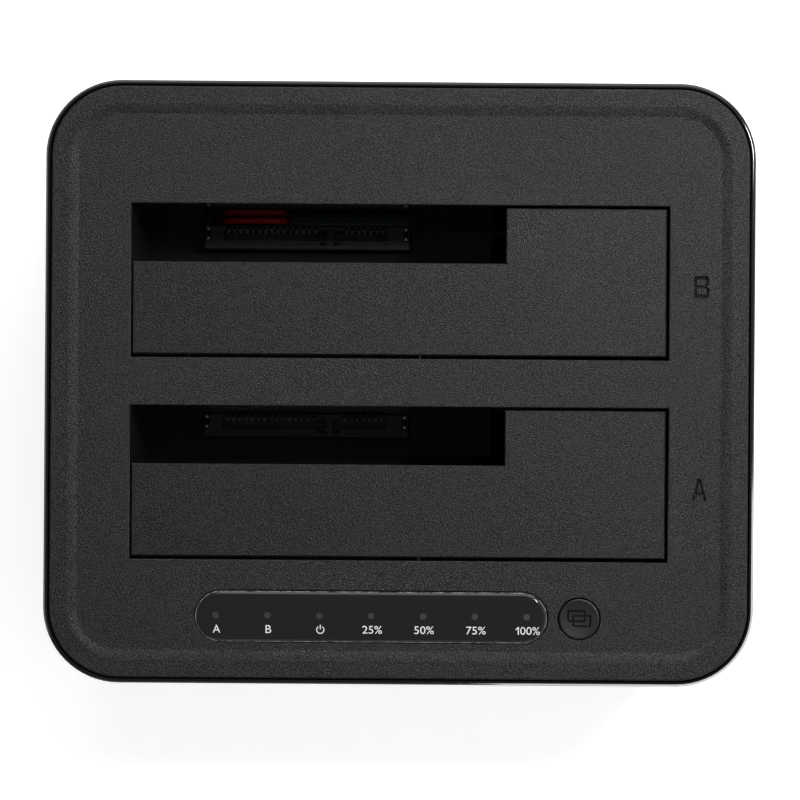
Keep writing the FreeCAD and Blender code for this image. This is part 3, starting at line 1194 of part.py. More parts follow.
def main():
    os.makedirs("parts", exist_ok=True)
    for name, make in NODES.items():
        write(name, make())
    for name, make in BAY_NODES.items():
        for bay in ("a", "b"):
            write(name + "_" + bay, make(bay))


main()
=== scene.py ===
"""Looks of the two-bay drive duplicator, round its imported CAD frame.

Everything is in metres. Places come from the boxes of the CAD nodes.
"""

import json
import math

import bmesh
import bpy
from mathutils import Matrix, Vector


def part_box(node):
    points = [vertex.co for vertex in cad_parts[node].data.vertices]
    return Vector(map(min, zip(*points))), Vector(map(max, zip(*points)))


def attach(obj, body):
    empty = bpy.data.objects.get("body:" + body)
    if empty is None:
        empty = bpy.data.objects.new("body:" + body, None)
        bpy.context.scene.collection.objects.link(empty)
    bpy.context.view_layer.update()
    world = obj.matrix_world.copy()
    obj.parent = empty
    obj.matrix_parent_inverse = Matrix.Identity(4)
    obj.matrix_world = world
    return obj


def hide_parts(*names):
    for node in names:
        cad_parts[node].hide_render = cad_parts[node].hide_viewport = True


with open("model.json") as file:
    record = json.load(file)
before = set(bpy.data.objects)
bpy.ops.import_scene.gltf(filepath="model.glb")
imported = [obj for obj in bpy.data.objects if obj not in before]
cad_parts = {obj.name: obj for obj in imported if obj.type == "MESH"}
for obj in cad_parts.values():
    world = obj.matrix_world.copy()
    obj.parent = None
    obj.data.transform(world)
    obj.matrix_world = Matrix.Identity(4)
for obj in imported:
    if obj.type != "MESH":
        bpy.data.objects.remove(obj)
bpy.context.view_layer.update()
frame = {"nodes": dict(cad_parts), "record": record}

MM = 0.001
NODES = frame["nodes"]
BAYS = ("a", "b")
UP = Vector((0, 0, 1))


def centre(node):
    low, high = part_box(node)
    return (Vector(low) + Vector(high)) / 2


# ---------------------------------------------------------------- node trees
def new_material(name):
    """An empty material, its tree and its shader."""
    material = bpy.data.materials.new(name)
    material.use_nodes = True
    tree = material.node_tree
    tree.nodes.clear()
    shader = tree.nodes.new("ShaderNodeBsdfPrincipled")
    output = tree.nodes.new("ShaderNodeOutputMaterial")
    tree.links.new(shader.outputs["BSDF"], output.inputs["Surface"])
    return material, tree, shader


def add(tree, kind, inputs=None, **settings):
    """A node with its settings, and its inputs given as values or as sockets to link."""
    node = tree.nodes.new("ShaderNode" + kind)
    for key, value in settings.items():
        setattr(node, key, value)
    for key, value in (inputs or {}).items():
        if isinstance(value, bpy.types.NodeSocket):
            tree.links.new(value, node.inputs[key])
        else:
            node.inputs[key].default_value = value
    return node


def place(tree):
    return add(tree, "TexCoord").outputs["Object"]


def noise(tree, vector, size, detail=2.0, roughness=0.5):
    """Noise whose features are about size metres across."""
    node = add(tree, "TexNoise", {"Vector": vector, "Scale": 1 / size, "Detail": detail,
                                  "Roughness": roughness})
    return node.outputs["Fac"]


def spread(tree, value, low, high, start=0.0, end=1.0):
    """value, from start to end, as a number from low to high."""
    node = add(tree, "MapRange", {"Value": value, "From Min": start, "From Max": end,
                                  "To Min": low, "To Max": high})
    return node.outputs["Result"]


def calculate(tree, operation, first, second):
    return add(tree, "Math", {0: first, 1: second}, operation=operation).outputs[0]


def blend_colours(tree, factor, first, second):
    node = add(tree, "Mix", {"Factor": factor, "A": first, "B": second}, data_type="RGBA")
    return node.outputs[2]


def bump(tree, height, distance, strength=1.0):
    inputs = {"Height": height, "Distance": distance, "Strength": strength}
    return add(tree, "Bump", inputs).outputs["Normal"]


def height_mask(tree, where, low, high):
    """0 below the height low and 1 above high."""
    return spread(tree, add(tree, "SeparateXYZ", {0: where}).outputs["Z"], 0.0, 1.0, low, high)


def times(colour, factor):
    return tuple(part * factor for part in colour[:3]) + (1.0,)


def grey(level):
    """A near-black plastic's colour, faintly warm."""
    return (level, level * 0.94, level * 0.99, 1.0)


SHEEN = (1.0, 0.96, 0.99, 1)        # the black plastics' reflections, faintly warm too
GRAIN = 0.28 * MM                   # pebble size of the moulded grain
GRAIN_SPREAD = 0.25                 # its colour and shine vary by this share of their middle value


def shade(shader, **values):
    for key, value in values.items():
        shader.inputs[key.replace("_", " ")].default_value = value


# ---------------------------------------------------------------- materials
def grained_plastic(name, level, roughness, depth, skin, below):
    """Moulded grain of fine rounded pebbles; below the height skin it is plain and darker, painted shade on
    the cut and hidden faces there.
    """
    material, tree, shader = new_material(name)
    where = place(tree)
    warp = add(tree, "TexNoise", {"Vector": where, "Scale": 0.9 / GRAIN, "Detail": 2.0})
    offset = add(tree, "VectorMath", {0: warp.outputs["Color"], 1: (GRAIN * 0.8,) * 3},
                 operation="MULTIPLY")
    bent = add(tree, "VectorMath", {0: where, 1: offset.outputs[0]}, operation="ADD").outputs[0]
    pebbles = add(tree, "TexVoronoi", {"Vector": bent, "Scale": 1 / GRAIN, "Smoothness": 0.4},
                  feature="SMOOTH_F1").outputs["Distance"]
    fine = noise(tree, where, GRAIN * 0.8, roughness=0.6)
    relief = calculate(tree, "ADD", spread(tree, pebbles, 0.8, 0.0, 0.15, 0.6),
                       spread(tree, fine, -0.5, 0.7, 0.36, 0.64))
    patches = noise(tree, where, 0.022, detail=3.0)
    # outside is 1 on the skin and 0 below it, where colour and shine drop by the factor below: painted shade
    outside = height_mask(tree, where, skin - 0.3 * MM, skin + 0.1 * MM)
    pebbled = blend_colours(tree, spread(tree, relief, 0.0, 1.0), grey(level * (1 - GRAIN_SPREAD)),
                            grey(level * (1 + GRAIN_SPREAD)))
    colour = blend_colours(tree, outside, grey(level * below), pebbled)
    tree.links.new(colour, shader.inputs["Base Color"])
    shine = calculate(tree, "MULTIPLY", spread(tree, relief, 0.5 - GRAIN_SPREAD, 0.5 + GRAIN_SPREAD),
                      spread(tree, outside, below, 1.0))
    tree.links.new(shine, shader.inputs["Specular IOR Level"])
    gloss = spread(tree, patches, roughness - 0.04, roughness + 0.04, 0.35, 0.65)
    tree.links.new(gloss, shader.inputs["Roughness"])
    tree.links.new(bump(tree, relief, depth), shader.inputs["Normal"])
    shade(shader, Specular_Tint=SHEEN)
    return material


def gloss_plastic(name, colour, roughness, ripple=0.000004, specular=0.5):
    """Polished moulding: slow ripples in the reflection and hair-fine wiping marks."""
    material, tree, shader = new_material(name)
    where = place(tree)
    waves = noise(tree, where, 0.009, detail=1.0)
    marks = noise(tree, add(tree, "Mapping", {"Vector": where, "Scale": (1.0, 0.12, 0.3)}).outputs[0],
                  0.0012, detail=4.0)
    wiped = spread(tree, marks, roughness * 0.7, roughness * 1.7, 0.35, 0.75)
    tree.links.new(wiped, shader.inputs["Roughness"])
    tree.links.new(bump(tree, waves, ripple), shader.inputs["Normal"])
    shade(shader, Base_Color=colour, Specular_IOR_Level=specular)
    return material


CUT_PAINTED_SHADE = 0.4                    # painted shade in an engraved cut: its colour and shine, against the skin's


def satin_plastic(name, colour, roughness, fine=0.00025, depth=0.000006, specular=0.5, skin=None):
    """Fine spark-eroded texture, for small mouldings; cuts below the height skin are darker, painted shade.
    """
    material, tree, shader = new_material(name)
    where = place(tree)
    grain = noise(tree, where, fine, detail=3.0, roughness=0.6)
    cloud = noise(tree, where, 0.006)
    clouded = spread(tree, cloud, roughness - 0.05, roughness + 0.05, 0.3, 0.7)
    tree.links.new(clouded, shader.inputs["Roughness"])
    skinned = blend_colours(tree, spread(tree, grain, 0, 1, 0.3, 0.7), times(colour, 0.82), colour)
    shade(shader, Specular_IOR_Level=specular, Specular_Tint=SHEEN)
    # painted shade: colour and shine of faces below the skin drop by the cut's factor
    if skin is not None:
        outside = height_mask(tree, where, skin - 0.05 * MM, skin + 0.05 * MM)
        skinned = blend_colours(tree, outside, times(colour, CUT_PAINTED_SHADE), skinned)
        shine = spread(tree, outside, specular * CUT_PAINTED_SHADE, specular)
        tree.links.new(shine, shader.inputs["Specular IOR Level"])
    tree.links.new(skinned, shader.inputs["Base Color"])
    tree.links.new(bump(tree, grain, depth), shader.inputs["Normal"])
    return material


def plated_metal(name, colour, roughness):
    """Bright plated metal with fine tool marks and dull spots."""
    material, tree, shader = new_material(name)
    where = place(tree)
    lines = noise(tree, add(tree, "Mapping", {"Vector": where, "Scale": (1.0, 1.0, 0.15)}).outputs[0],
                  0.0004, detail=4.0)
    spots = noise(tree, where, 0.0015, detail=2.0)
    rough = calculate(tree, "ADD", spread(tree, lines, roughness - 0.06, roughness + 0.08, 0.3, 0.7),
                      spread(tree, spots, -0.02, 0.12, 0.4, 0.8))
    tree.links.new(rough, shader.inputs["Roughness"])
    tree.links.new(bump(tree, lines, 0.000003), shader.inputs["Normal"])
    shade(shader, Base_Color=colour, Metallic=1.0)
    return material


def metal_darker_below(name, low_colour, high_colour, roughness, z_low, z_high, metallic=1.0):
    """Plated metal whose colour and finish change with height, dark and dull below z_low and bright above
    z_high; on the socket locks the dark is painted shade.
    """
    material, tree, shader = new_material(name)
    where = place(tree)
    bright = height_mask(tree, where, z_low, z_high)
    stain = spread(tree, noise(tree, where, 0.0003, detail=3.0), 0.85, 1.15, 0.3, 0.7)
    both = blend_colours(tree, bright, low_colour, high_colour)
    uneven = add(tree, "VectorMath", {0: both, "Scale": stain}, operation="SCALE").outputs[0]
    tree.links.new(uneven, shader.inputs["Base Color"])
    tree.links.new(spread(tree, bright, 0.6, roughness), shader.inputs["Roughness"])
    shade(shader, Metallic=metallic)
    return material


def circuit_board():
    """Green solder mask over copper runs, with tinned vias."""
    material, tree, shader = new_material("circuit_board")
    where = place(tree)
    across = add(tree, "TexBrick", {"Vector": where, "Scale": 260.0, "Mortar Size": 0.055, "Brick Width": 1.7,
                                    "Row Height": 0.33, "Color1": (0, 0, 0, 1), "Color2": (0, 0, 0, 1),
                                    "Mortar": (1, 1, 1, 1)}).outputs["Color"]
    via = add(tree, "TexVoronoi", {"Vector": where, "Scale": 330.0, "Randomness": 0.75}).outputs["Distance"]
    ring = spread(tree, via, 1.0, 0.0, 0.11, 0.13)
    mask = blend_colours(tree, across, (0.008, 0.10, 0.045, 1), (0.025, 0.24, 0.10, 1))
    tree.links.new(blend_colours(tree, ring, mask, (0.45, 0.43, 0.36, 1)), shader.inputs["Base Color"])
    tree.links.new(spread(tree, ring, 0.28, 0.42), shader.inputs["Roughness"])
    height = calculate(tree, "ADD", across, ring)
    tree.links.new(bump(tree, height, 0.00003), shader.inputs["Normal"])
    return material


def insulation():
    """Red lead insulation, faintly ribbed by the strands under it."""
    material, tree, shader = new_material("lead_insulation")
    where = place(tree)
    strands = add(tree, "TexWave", {"Vector": where, "Scale": 900.0, "Distortion": 2.0, "Detail": 1.0},
                  bands_direction="DIAGONAL").outputs["Fac"]
    stain = noise(tree, where, 0.004, detail=3.0)
    tree.links.new(blend_colours(tree, spread(tree, stain, 0, 1, 0.3, 0.7), (0.60, 0.010, 0.010, 1),
                                 (0.80, 0.020, 0.016, 1)), shader.inputs["Base Color"])
    tree.links.new(bump(tree, strands, 0.00001, 0.4), shader.inputs["Normal"])
    shade(shader, Roughness=0.32)
    return material


CORE_PITCH = 1.0 * MM


def ribbon():
    """Grey flat cable: ten conductors side by side."""
    material, tree, shader = new_material("ribbon")
    where = place(tree)
    cores = add(tree, "TexWave", {"Vector": where, "Scale": 2 / (CORE_PITCH * math.tau)},
                bands_direction="X").outputs["Fac"]
    tree.links.new(blend_colours(tree, cores, (0.22, 0.22, 0.23, 1), (0.36, 0.36, 0.37, 1)),
                   shader.inputs["Base Color"])
    tree.links.new(bump(tree, cores, 0.0002), shader.inputs["Normal"])
    shade(shader, Roughness=0.5)
    return material


def ink(name, colour):
    """Screen-printed ink, very slightly uneven."""
    material, tree, shader = new_material(name)
    cover = noise(tree, place(tree), 0.00012, detail=2.0)
    tree.links.new(blend_colours(tree, spread(tree, cover, 0, 1, 0.35, 0.6), times(colour, 0.88), colour),
                   shader.inputs["Base Color"])
    shade(shader, Roughness=0.55)
    return material


def painted_edge_highlight():
    """Painted highlight for a clear plastic edge: pale colour, broken unevenly along its length, where the
    edge would catch the light.
    """
    material, tree, shader = new_material("painted_edge_highlight")
    broken = noise(tree, place(tree), 0.0015, detail=4.0, roughness=0.75)
    tree.links.new(blend_colours(tree, spread(tree, broken, 0, 1, 0.42, 0.62), grey(0.05), grey(0.4)),
                   shader.inputs["Base Color"])
    shade(shader, Roughness=0.4)
    return material


def floor_material():
    """Pale plain floor that keeps the object's shadow and reads as white paper."""
    material, tree, shader = new_material("floor")
    shade(shader, Base_Color=(0.9, 0.9, 0.9, 1), Roughness=0.9, Specular_IOR_Level=0.1)
    path = add(tree, "LightPath")
    seen = calculate(tree, "MAXIMUM", path.outputs["Is Camera Ray"], path.outputs["Is Glossy Ray"])
    glow = add(tree, "Emission", {"Color": (1, 1, 1, 1), "Strength": FLOOR_GLOW})
    dark = add(tree, "Emission", {"Color": (0, 0, 0, 1), "Strength": 0.0})
    lift = add(tree, "MixShader", {0: seen, 1: dark.outputs[0], 2: glow.outputs[0]})
    total = add(tree, "AddShader", {0: shader.outputs[0], 1: lift.outputs[0]})
    output = next(n for n in tree.nodes if n.type == "OUTPUT_MATERIAL")
    tree.links.new(total.outputs[0], output.inputs["Surface"])
    return material


# ---------------------------------------------------------------- meshes
def mesh_object(name, builder, material, smooth_angle=None):
    """A mesh object from a bmesh, with one material."""
    mesh = bpy.data.meshes.new(name)
    builder.to_mesh(mesh)
    builder.free()
    return finished(bpy.data.objects.new(name, mesh), material, smooth_angle)


def finished(obj, material, smooth_angle=None):
    obj.data.materials.clear()
    obj.data.materials.append(material)
    if obj.name not in bpy.context.scene.collection.objects:
        bpy.context.scene.collection.objects.link(obj)
    if smooth_angle is not None:
        obj.data.shade_smooth()
        obj.data.set_sharp_from_angle(angle=math.radians(smooth_angle))
    return obj


def apply_modifiers(obj):
    """Replaces the object's mesh by what its modifiers make of it."""
    bpy.context.view_layer.update()
    graph = bpy.context.evaluated_depsgraph_get()
    mesh = bpy.data.meshes.new_from_object(obj.evaluated_get(graph))
    obj.modifiers.clear()
    obj.data = mesh
    return obj


def cad_copy(node, name):
    """A welded copy of a CAD node's mesh, to be cut."""
    copy = bpy.data.objects.new(name, NODES[node].data.copy())
    bpy.context.scene.collection.objects.link(copy)
    builder = bmesh.new()
    builder.from_mesh(copy.data)
    bmesh.ops.remove_doubles(builder, verts=builder.verts, dist=1e-6)
    builder.to_mesh(copy.data)
    builder.free()
    return copy


def engrave(node, name, cutters, material):
    """A copy of the CAD node with the cutters taken out of it, which stands for the node."""
    copy = cad_copy(node, name)
    for cutter in cutters:
        cut = copy.modifiers.new("cut", "BOOLEAN")
        cut.operation, cut.solver, cut.object = "DIFFERENCE", "EXACT", cutter
    apply_modifiers(copy)
    for cutter in cutters:
        bpy.data.objects.remove(cutter)
    finished(copy, material, smooth_angle=28)
    weights = copy.modifiers.new("flat faces stay flat", "WEIGHTED_NORMAL")
    weights.keep_sharp, weights.weight = True, 80
    apply_modifiers(copy)
    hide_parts(node)
    return copy


def set_normals(obj, wanted):
    """Overrides shading normals: wanted gives one for a face and a corner's place, or None."""
    mesh = obj.data
    normals = [corner.vector.copy() for corner in mesh.corner_normals]
    for face in mesh.polygons:
        for loop in face.loop_indices:
            chosen = wanted(face, mesh.vertices[mesh.loops[loop].vertex_index].co)
            if chosen is not None:
                normals[loop] = chosen
    mesh.normals_split_custom_set(normals)


def extruded(name, outline_sets, z_low, z_high):
    """A closed prism from flat outlines; each set is a list of loops, the later ones holes."""
    curve = bpy.data.curves.new(name, "CURVE")
    curve.dimensions, curve.fill_mode = "2D", "BOTH"
    curve.extrude = (z_high - z_low) / 2
    for loops in outline_sets:
        for loop in loops:
            spline = curve.splines.new("POLY")
            spline.points.add(len(loop) - 1)
            for point, (x, y) in zip(spline.points, loop):
                point.co = (x, y, 0, 1)
            spline.use_cyclic_u = True
    return curve_as_mesh(curve, name, Matrix.Translation((0, 0, (z_low + z_high) / 2)))


def curve_as_mesh(curve, name, matrix):
    holder = bpy.data.objects.new(name, curve)
    bpy.context.scene.collection.objects.link(holder)
    bpy.context.view_layer.update()
    graph = bpy.context.evaluated_depsgraph_get()
    mesh = bpy.data.meshes.new_from_object(holder.evaluated_get(graph))
    bpy.data.objects.remove(holder)
    mesh.transform(matrix)
    builder = bmesh.new()
    builder.from_mesh(mesh)
    bmesh.ops.remove_doubles(builder, verts=builder.verts, dist=1e-7)
    bmesh.ops.recalc_face_normals(builder, faces=builder.faces)
    builder.to_mesh(mesh)
    builder.free()
    obj = bpy.data.objects.new(name, mesh)
    bpy.context.scene.collection.objects.link(obj)
    return obj


def lettering(text, name, where, width):
    """A label's text lying flat, its middle at where."""
    curve = bpy.data.curves.new(name, "FONT")
    curve.body, curve.size, curve.offset = text, 1.0, LABEL_BOLD
    curve.extrude, curve.resolution_u = 0.5, 4
    obj = curve_as_mesh(curve, name, Matrix.Identity(4))
    xs = [v.co.x for v in obj.data.vertices]
    ys = [v.co.y for v in obj.data.vertices]
    tall, wide = max(ys) - min(ys), max(xs) - min(xs)
    middle = Vector(((max(xs) + min(xs)) / 2, (max(ys) + min(ys)) / 2, 0))
    obj.data.transform(Matrix.Translation(-middle))
    obj.data.transform(Matrix.Diagonal((width / wide, LABEL_HEIGHT / tall, LABEL_THICK, 1)))
    obj.data.transform(Matrix.Translation(where))
    return obj


def rounded_loop(cx, cy, width, height, radius, steps=5):
    """Points round a rectangle with round corners."""
    loop = []
    for quarter, (sx, sy) in enumerate(((1, 1), (-1, 1), (-1, -1), (1, -1))):
        for n in range(steps + 1):
            angle = math.radians(90 * (quarter + n / steps))
            loop.append((cx + sx * (width / 2 - radius) + radius * math.cos(angle),
                         cy + sy * (height / 2 - radius) + radius * math.sin(angle)))
    return loop


def arc_band(cx, cy, radius, width, start, end, steps=28):
    """Points round a bent bar, from start to end degrees."""
    angles = [math.radians(start + (end - start) * n / steps) for n in range(steps + 1)]
    outer, inner = [[(cx + r * math.cos(a), cy + r * math.sin(a)) for a in angles]
                    for r in (radius + width / 2, radius - width / 2)]
    return outer + inner[::-1]


def box_loop(cx, cy, width, height):
    return [(cx - width / 2, cy - height / 2), (cx + width / 2, cy - height / 2),
            (cx + width / 2, cy + height / 2), (cx - width / 2, cy + height / 2)]


# ---------------------------------------------------------------- camera, lights and floor
FIELD_SINK = 0.6 * MM               # the cover's middle field below its rim
CAMERA_HEIGHT = 0.5                 # above the sunk field
CAMERA_SHIFT = (0.1 * MM, -3.2 * MM)
CAMERA_LENS, CAMERA_SENSOR = 118.1, 36.0
CAMERA_ROLL = 0.42                  # degrees
FLOOR_HALF = 3.0
FLOOR_GLOW = 0.68                   # the floor's own light, for the camera and reflections only
LAMP_AIM = Vector((0, 0, 0.05))
# name, azimuth from +X towards +Y, elevation, distance, size, watts and, for a card that shows
# only as a reflection, the nodes that it shows in
LAMPS = (
    ("key", 28, 60, 0.45, (0.05, 0.05), 0.80, ()),
    ("rear_box", 80, 34, 0.6, (0.5, 0.7), 2.0, ()),
    ("left_strip", 180, 26, 0.6, (0.5, 0.3), 1.3, ("housing",)),
    ("corner_strip", 130, 28, 0.6, (0.45, 0.25), 1.0, ("housing",)),
    ("front_strip", -90, 28, 0.6, (0.6, 0.06), 0.3, ()),
    ("front_card", -45, 0, 0.305, (0.52, 0.8), 18.0, ("housing",)),
)
ROOM_LEAN = (0.8, 0.6)              # heading, along X and Y, in which the room is brightest
ROOM_SIDES = (0.14, 0.8)            # its light away from that heading and towards it
ROOM_LOW = 0.3                      # more light near the horizon


def make_camera():
    data = bpy.data.cameras.new("camera")
    data.lens, data.sensor_width = CAMERA_LENS, CAMERA_SENSOR
    camera = bpy.data.objects.new("camera", data)
    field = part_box("top_cover")[1][2] - FIELD_SINK
    camera.location = (CAMERA_SHIFT[0], CAMERA_SHIFT[1], field + CAMERA_HEIGHT)
    camera.rotation_euler = (0, 0, math.radians(CAMERA_ROLL))
    bpy.context.scene.collection.objects.link(camera)
    bpy.context.scene.camera = camera


def make_lamp(name, azimuth, elevation, distance, size, watts, only):
    """A soft box aimed at the object, or a reflection card for the named nodes only."""
    data = bpy.data.lights.new(name, "AREA")
    data.shape, data.size, data.size_y, data.energy = "RECTANGLE", size[0], size[1], watts
    lamp = bpy.data.objects.new(name, data)
    turn, rise = math.radians(azimuth), math.radians(elevation)
    away = Vector((math.cos(rise) * math.cos(turn), math.cos(rise) * math.sin(turn), math.sin(rise)))
    lamp.location = LAMP_AIM + away * distance
    lamp.rotation_euler = away.to_track_quat("Z", "Y").to_euler()
    lamp.visible_camera = False
    if only:
        lamp.visible_diffuse = False
        lamp.light_linking.receiver_collection = bpy.data.collections.new(name)
        for node in only:
            lamp.light_linking.receiver_collection.objects.link(NODES[node])
    bpy.context.scene.collection.objects.link(lamp)


def make_world():
    """Soft room light, brighter low down and to the right and rear than overhead."""
    world = bpy.data.worlds.new("world")
    world.use_nodes = True
    tree = world.node_tree
    tree.nodes.clear()
    heading = add(tree, "SeparateXYZ", {0: add(tree, "TexCoord").outputs["Generated"]}).outputs
    lean = calculate(tree, "ADD", calculate(tree, "MULTIPLY", heading["X"], ROOM_LEAN[0]),
                     calculate(tree, "MULTIPLY", heading["Y"], ROOM_LEAN[1]))
    level = calculate(tree, "ADD", spread(tree, lean, *ROOM_SIDES, 0.0, 0.9),
                      spread(tree, heading["Z"], ROOM_LOW, 0.0, 0.1, 0.5))
    room = add(tree, "Background", {"Color": (1, 1, 1, 1), "Strength": level})
    white = add(tree, "Background", {"Color": (1, 1, 1, 1), "Strength": 1.0})
    seen = add(tree, "LightPath").outputs["Is Camera Ray"]
    both = add(tree, "MixShader", {0: seen, 1: room.outputs[0], 2: white.outputs[0]})
    output = add(tree, "OutputWorld")
    tree.links.new(both.outputs[0], output.inputs["Surface"])
    bpy.context.scene.world = world


def make_floor():
    builder = bmesh.new()
    bmesh.ops.create_grid(builder, x_segments=1, y_segments=1, size=FLOOR_HALF)
    floor = mesh_object("floor", builder, floor_material())


def make_stage():
    bpy.context.scene.view_settings.view_transform = "Standard"
    make_camera()
    make_world()
    make_floor()
    for lamp in LAMPS:
        make_lamp(*lamp)


# ---------------------------------------------------------------- the object
def dress_cad_nodes():
    """Gives each CAD node that shows its own finish."""
    field, flap_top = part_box("top_cover")[1][2] - FIELD_SINK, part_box("bay_door_a")[1][2]
    # Painted shade below the skin heights: the cover's engraved letters and cut walls drop to 0.45, the
    # flap's parts seen through its gaps to 0.3.
    textured = grained_plastic("textured_plastic", 0.009, 0.33, 0.00004, field - 0.2 * MM, 0.45)
    flap = grained_plastic("flap_plastic", 0.0052, 0.36, 0.00003, flap_top - 0.6 * MM, 0.3)
    base = satin_plastic("base_plastic", grey(0.022), 0.5)
    housing = gloss_plastic("housing_gloss", grey(0.006), 0.07)
    well = gloss_plastic("well_gloss", grey(0.018), 0.03, ripple=0.000001, specular=0.1)
    lens = gloss_plastic("lens_gloss", grey(0.015), 0.05)
    # painted shade in the icon's cuts below the dish
    button = satin_plastic("button_plastic", grey(0.012), 0.36, fine=0.0003, depth=0.00001,
                           skin=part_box("clone_button")[1][2] - DISH_DEEP - 0.1 * MM)
    switch = satin_plastic("switch_plastic", grey(0.014), 0.38)
    socket = satin_plastic("socket_plastic", grey(0.03), 0.42)
    pipe = satin_plastic("pipe_plastic", (0.045, 0.045, 0.047, 1), 0.35, fine=0.0009, depth=0.00005)
    screw = plated_metal("screw_plating", (0.55, 0.56, 0.58, 1), 0.32)
    steel = plated_metal("spring_steel", (0.20, 0.20, 0.205, 1), 0.38)
    nickel = plated_metal("nickel", (0.66, 0.65, 0.62, 1), 0.24)
    board_top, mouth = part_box("main_board")[1][2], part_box("sata_socket_a")[1][2]
    # the contacts are coloured dark and dull towards the bottom and gold at the top
    gold = metal_darker_below("contact_gold", (0.05, 0.05, 0.05, 1), (0.95, 0.85, 0.6, 1), 0.3,
                      board_top + MM, board_top + 3 * MM, metallic=0.2)
    # painted shade: the lock's web under its tips is coloured dark
    lock = metal_darker_below("lock_metal", (0.06, 0.06, 0.06, 1), (0.35, 0.35, 0.35, 1), 0.3,
                      mouth - 0.6 * MM, mouth - 0.2 * MM)
    board = circuit_board()
    chip = satin_plastic("chip_resin", grey(0.014), 0.55)
    ferrite = satin_plastic("ferrite", (0.045, 0.045, 0.048, 1), 0.6, fine=0.00018, depth=0.00001)
    rubber = satin_plastic("foot_rubber", grey(0.016), 0.8, fine=0.0004, depth=0.00002, specular=0.25)
    looks = {
        "top_cover": textured, "bay_door_a": flap, "bay_door_b": flap, "base_cover": base,
        "housing": housing, "drive_well_a": well, "drive_well_b": well, "indicator_lens": lens,
        "clone_button": button, "clone_switch_plunger": switch, "clone_switch": switch,
        "power_switch_body": switch, "power_rocker": switch, "dc_jack_body": socket,
        "sata_socket_a": socket, "sata_socket_b": socket, "light_pipes": pipe,
        "rubber_feet": rubber,
        "case_screws": screw, "cover_screws": screw, "well_screws": screw, "board_screws": screw,
        "indicator_board_screws": screw, "door_pin_a": steel, "door_pin_b": steel, "door_spring_a": steel,
        "door_spring_b": steel, "socket_locks": lock, "usb_shell": nickel, "clock_crystal": nickel,
        "filter_capacitors": nickel, "dc_jack_pin": nickel, "power_switch_terminals": nickel,
        "sata_contacts_a": gold, "sata_contacts_b": gold, "main_board": board, "indicator_board": board,
        "bridge_chip": chip, "regulator_chips": chip, "power_inductors": ferrite,
        "usb_core": satin_plastic("port_plastic", (0.012, 0.09, 0.42, 1), 0.4),
        "indicator_lamps": satin_plastic("lamp_resin", (0.7, 0.68, 0.5, 1), 0.3),
        "cable_headers": satin_plastic("header_nylon", (0.72, 0.69, 0.6, 1), 0.45),
        "indicator_cable": ribbon(), "power_leads": insulation(),
    }
    for node, obj in NODES.items():
        for slot in obj.material_slots:
            slot.material = looks[node]
    return looks


LETTER_HEIGHT, LETTER_DEEP = 4.3 * MM, 0.5 * MM
LETTER_PLACE = {"a": (57.2 * MM, 0.95 * MM), "b": (57.45 * MM, 1.15 * MM)}   # X, and Y from the bay's middle


def letter_a(width, height, stroke, peak, bar_low):
    """Outline of an A round its middle: the outside, then the hole over its bar."""
    half = width / 2
    slope = (half - peak / 2) / height
    inside = half - stroke * math.hypot(1, slope)
    bar_top = bar_low + stroke

    def edge(y):
        return inside - slope * y

    outside = [(-half, 0), (-inside, 0), (-edge(bar_low), bar_low), (edge(bar_low), bar_low), (inside, 0),
               (half, 0), (peak / 2, height), (-peak / 2, height)]
    hole = [(-edge(bar_top), bar_top), (edge(bar_top), bar_top), (0, inside / slope)]
    return [[(x, y - height / 2) for x, y in loop] for loop in (outside, hole)]


def lobe(right, low, high, radius, steps=6):
    """The rounded right side of a bar, from its foot up."""
    points = []
    for start, y in ((-90, low + radius), (0, high - radius)):
        for n in range(steps + 1):
            angle = math.radians(start + 90 * n / steps)
            points.append((right - radius + radius * math.cos(angle), y + radius * math.sin(angle)))
    return points


def letter_b(width, height, stroke, upright, bar):
    """Outline of a squarish B round its middle: the outside, then its two holes."""
    waist, step = height * 0.52, 0.04 * width
    right = width - step
    outside = [(0, 0)] + lobe(width, 0, waist, stroke) + lobe(right, waist, height, stroke) + [(0, height)]
    low_top, high_low = waist - bar / 2, waist + bar / 2
    low_hole = [(upright, stroke)] + lobe(width - upright, stroke, low_top, stroke / 3) + [(upright, low_top)]
    high_hole = [(upright, high_low)] + lobe(right - upright, high_low, height - stroke, stroke / 3)
    high_hole.append((upright, height - stroke))
    return [[(x - width / 2, y - height / 2) for x, y in loop] for loop in (outside, low_hole, high_hole)]


def engraved_cover(material):
    """The cover with a bay letter sunk beside each bay."""
    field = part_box("top_cover")[1][2] - FIELD_SINK
    outlines = {
        "a": letter_a(3.0 * MM, LETTER_HEIGHT, 0.56 * MM, 0.65 * MM, 1.15 * MM),
        "b": letter_b(2.95 * MM, LETTER_HEIGHT, 0.76 * MM, 0.55 * MM, 0.55 * MM),
    }
    cutters = []
    for bay in BAYS:
        x, y = LETTER_PLACE[bay][0], centre("drive_well_" + bay).y + LETTER_PLACE[bay][1]
        loops = [[(x + dx, y + dy) for dx, dy in loop] for loop in outlines[bay]]
        cutters.append(extruded("cut_" + bay, [loops], field - LETTER_DEEP, field + MM))
    cover = engrave("top_cover", "engraved_cover", cutters, material)
    set_normals(cover, lambda face, spot: UP if face.normal.z > 0.9995 else None)
    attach(cover, "casing")


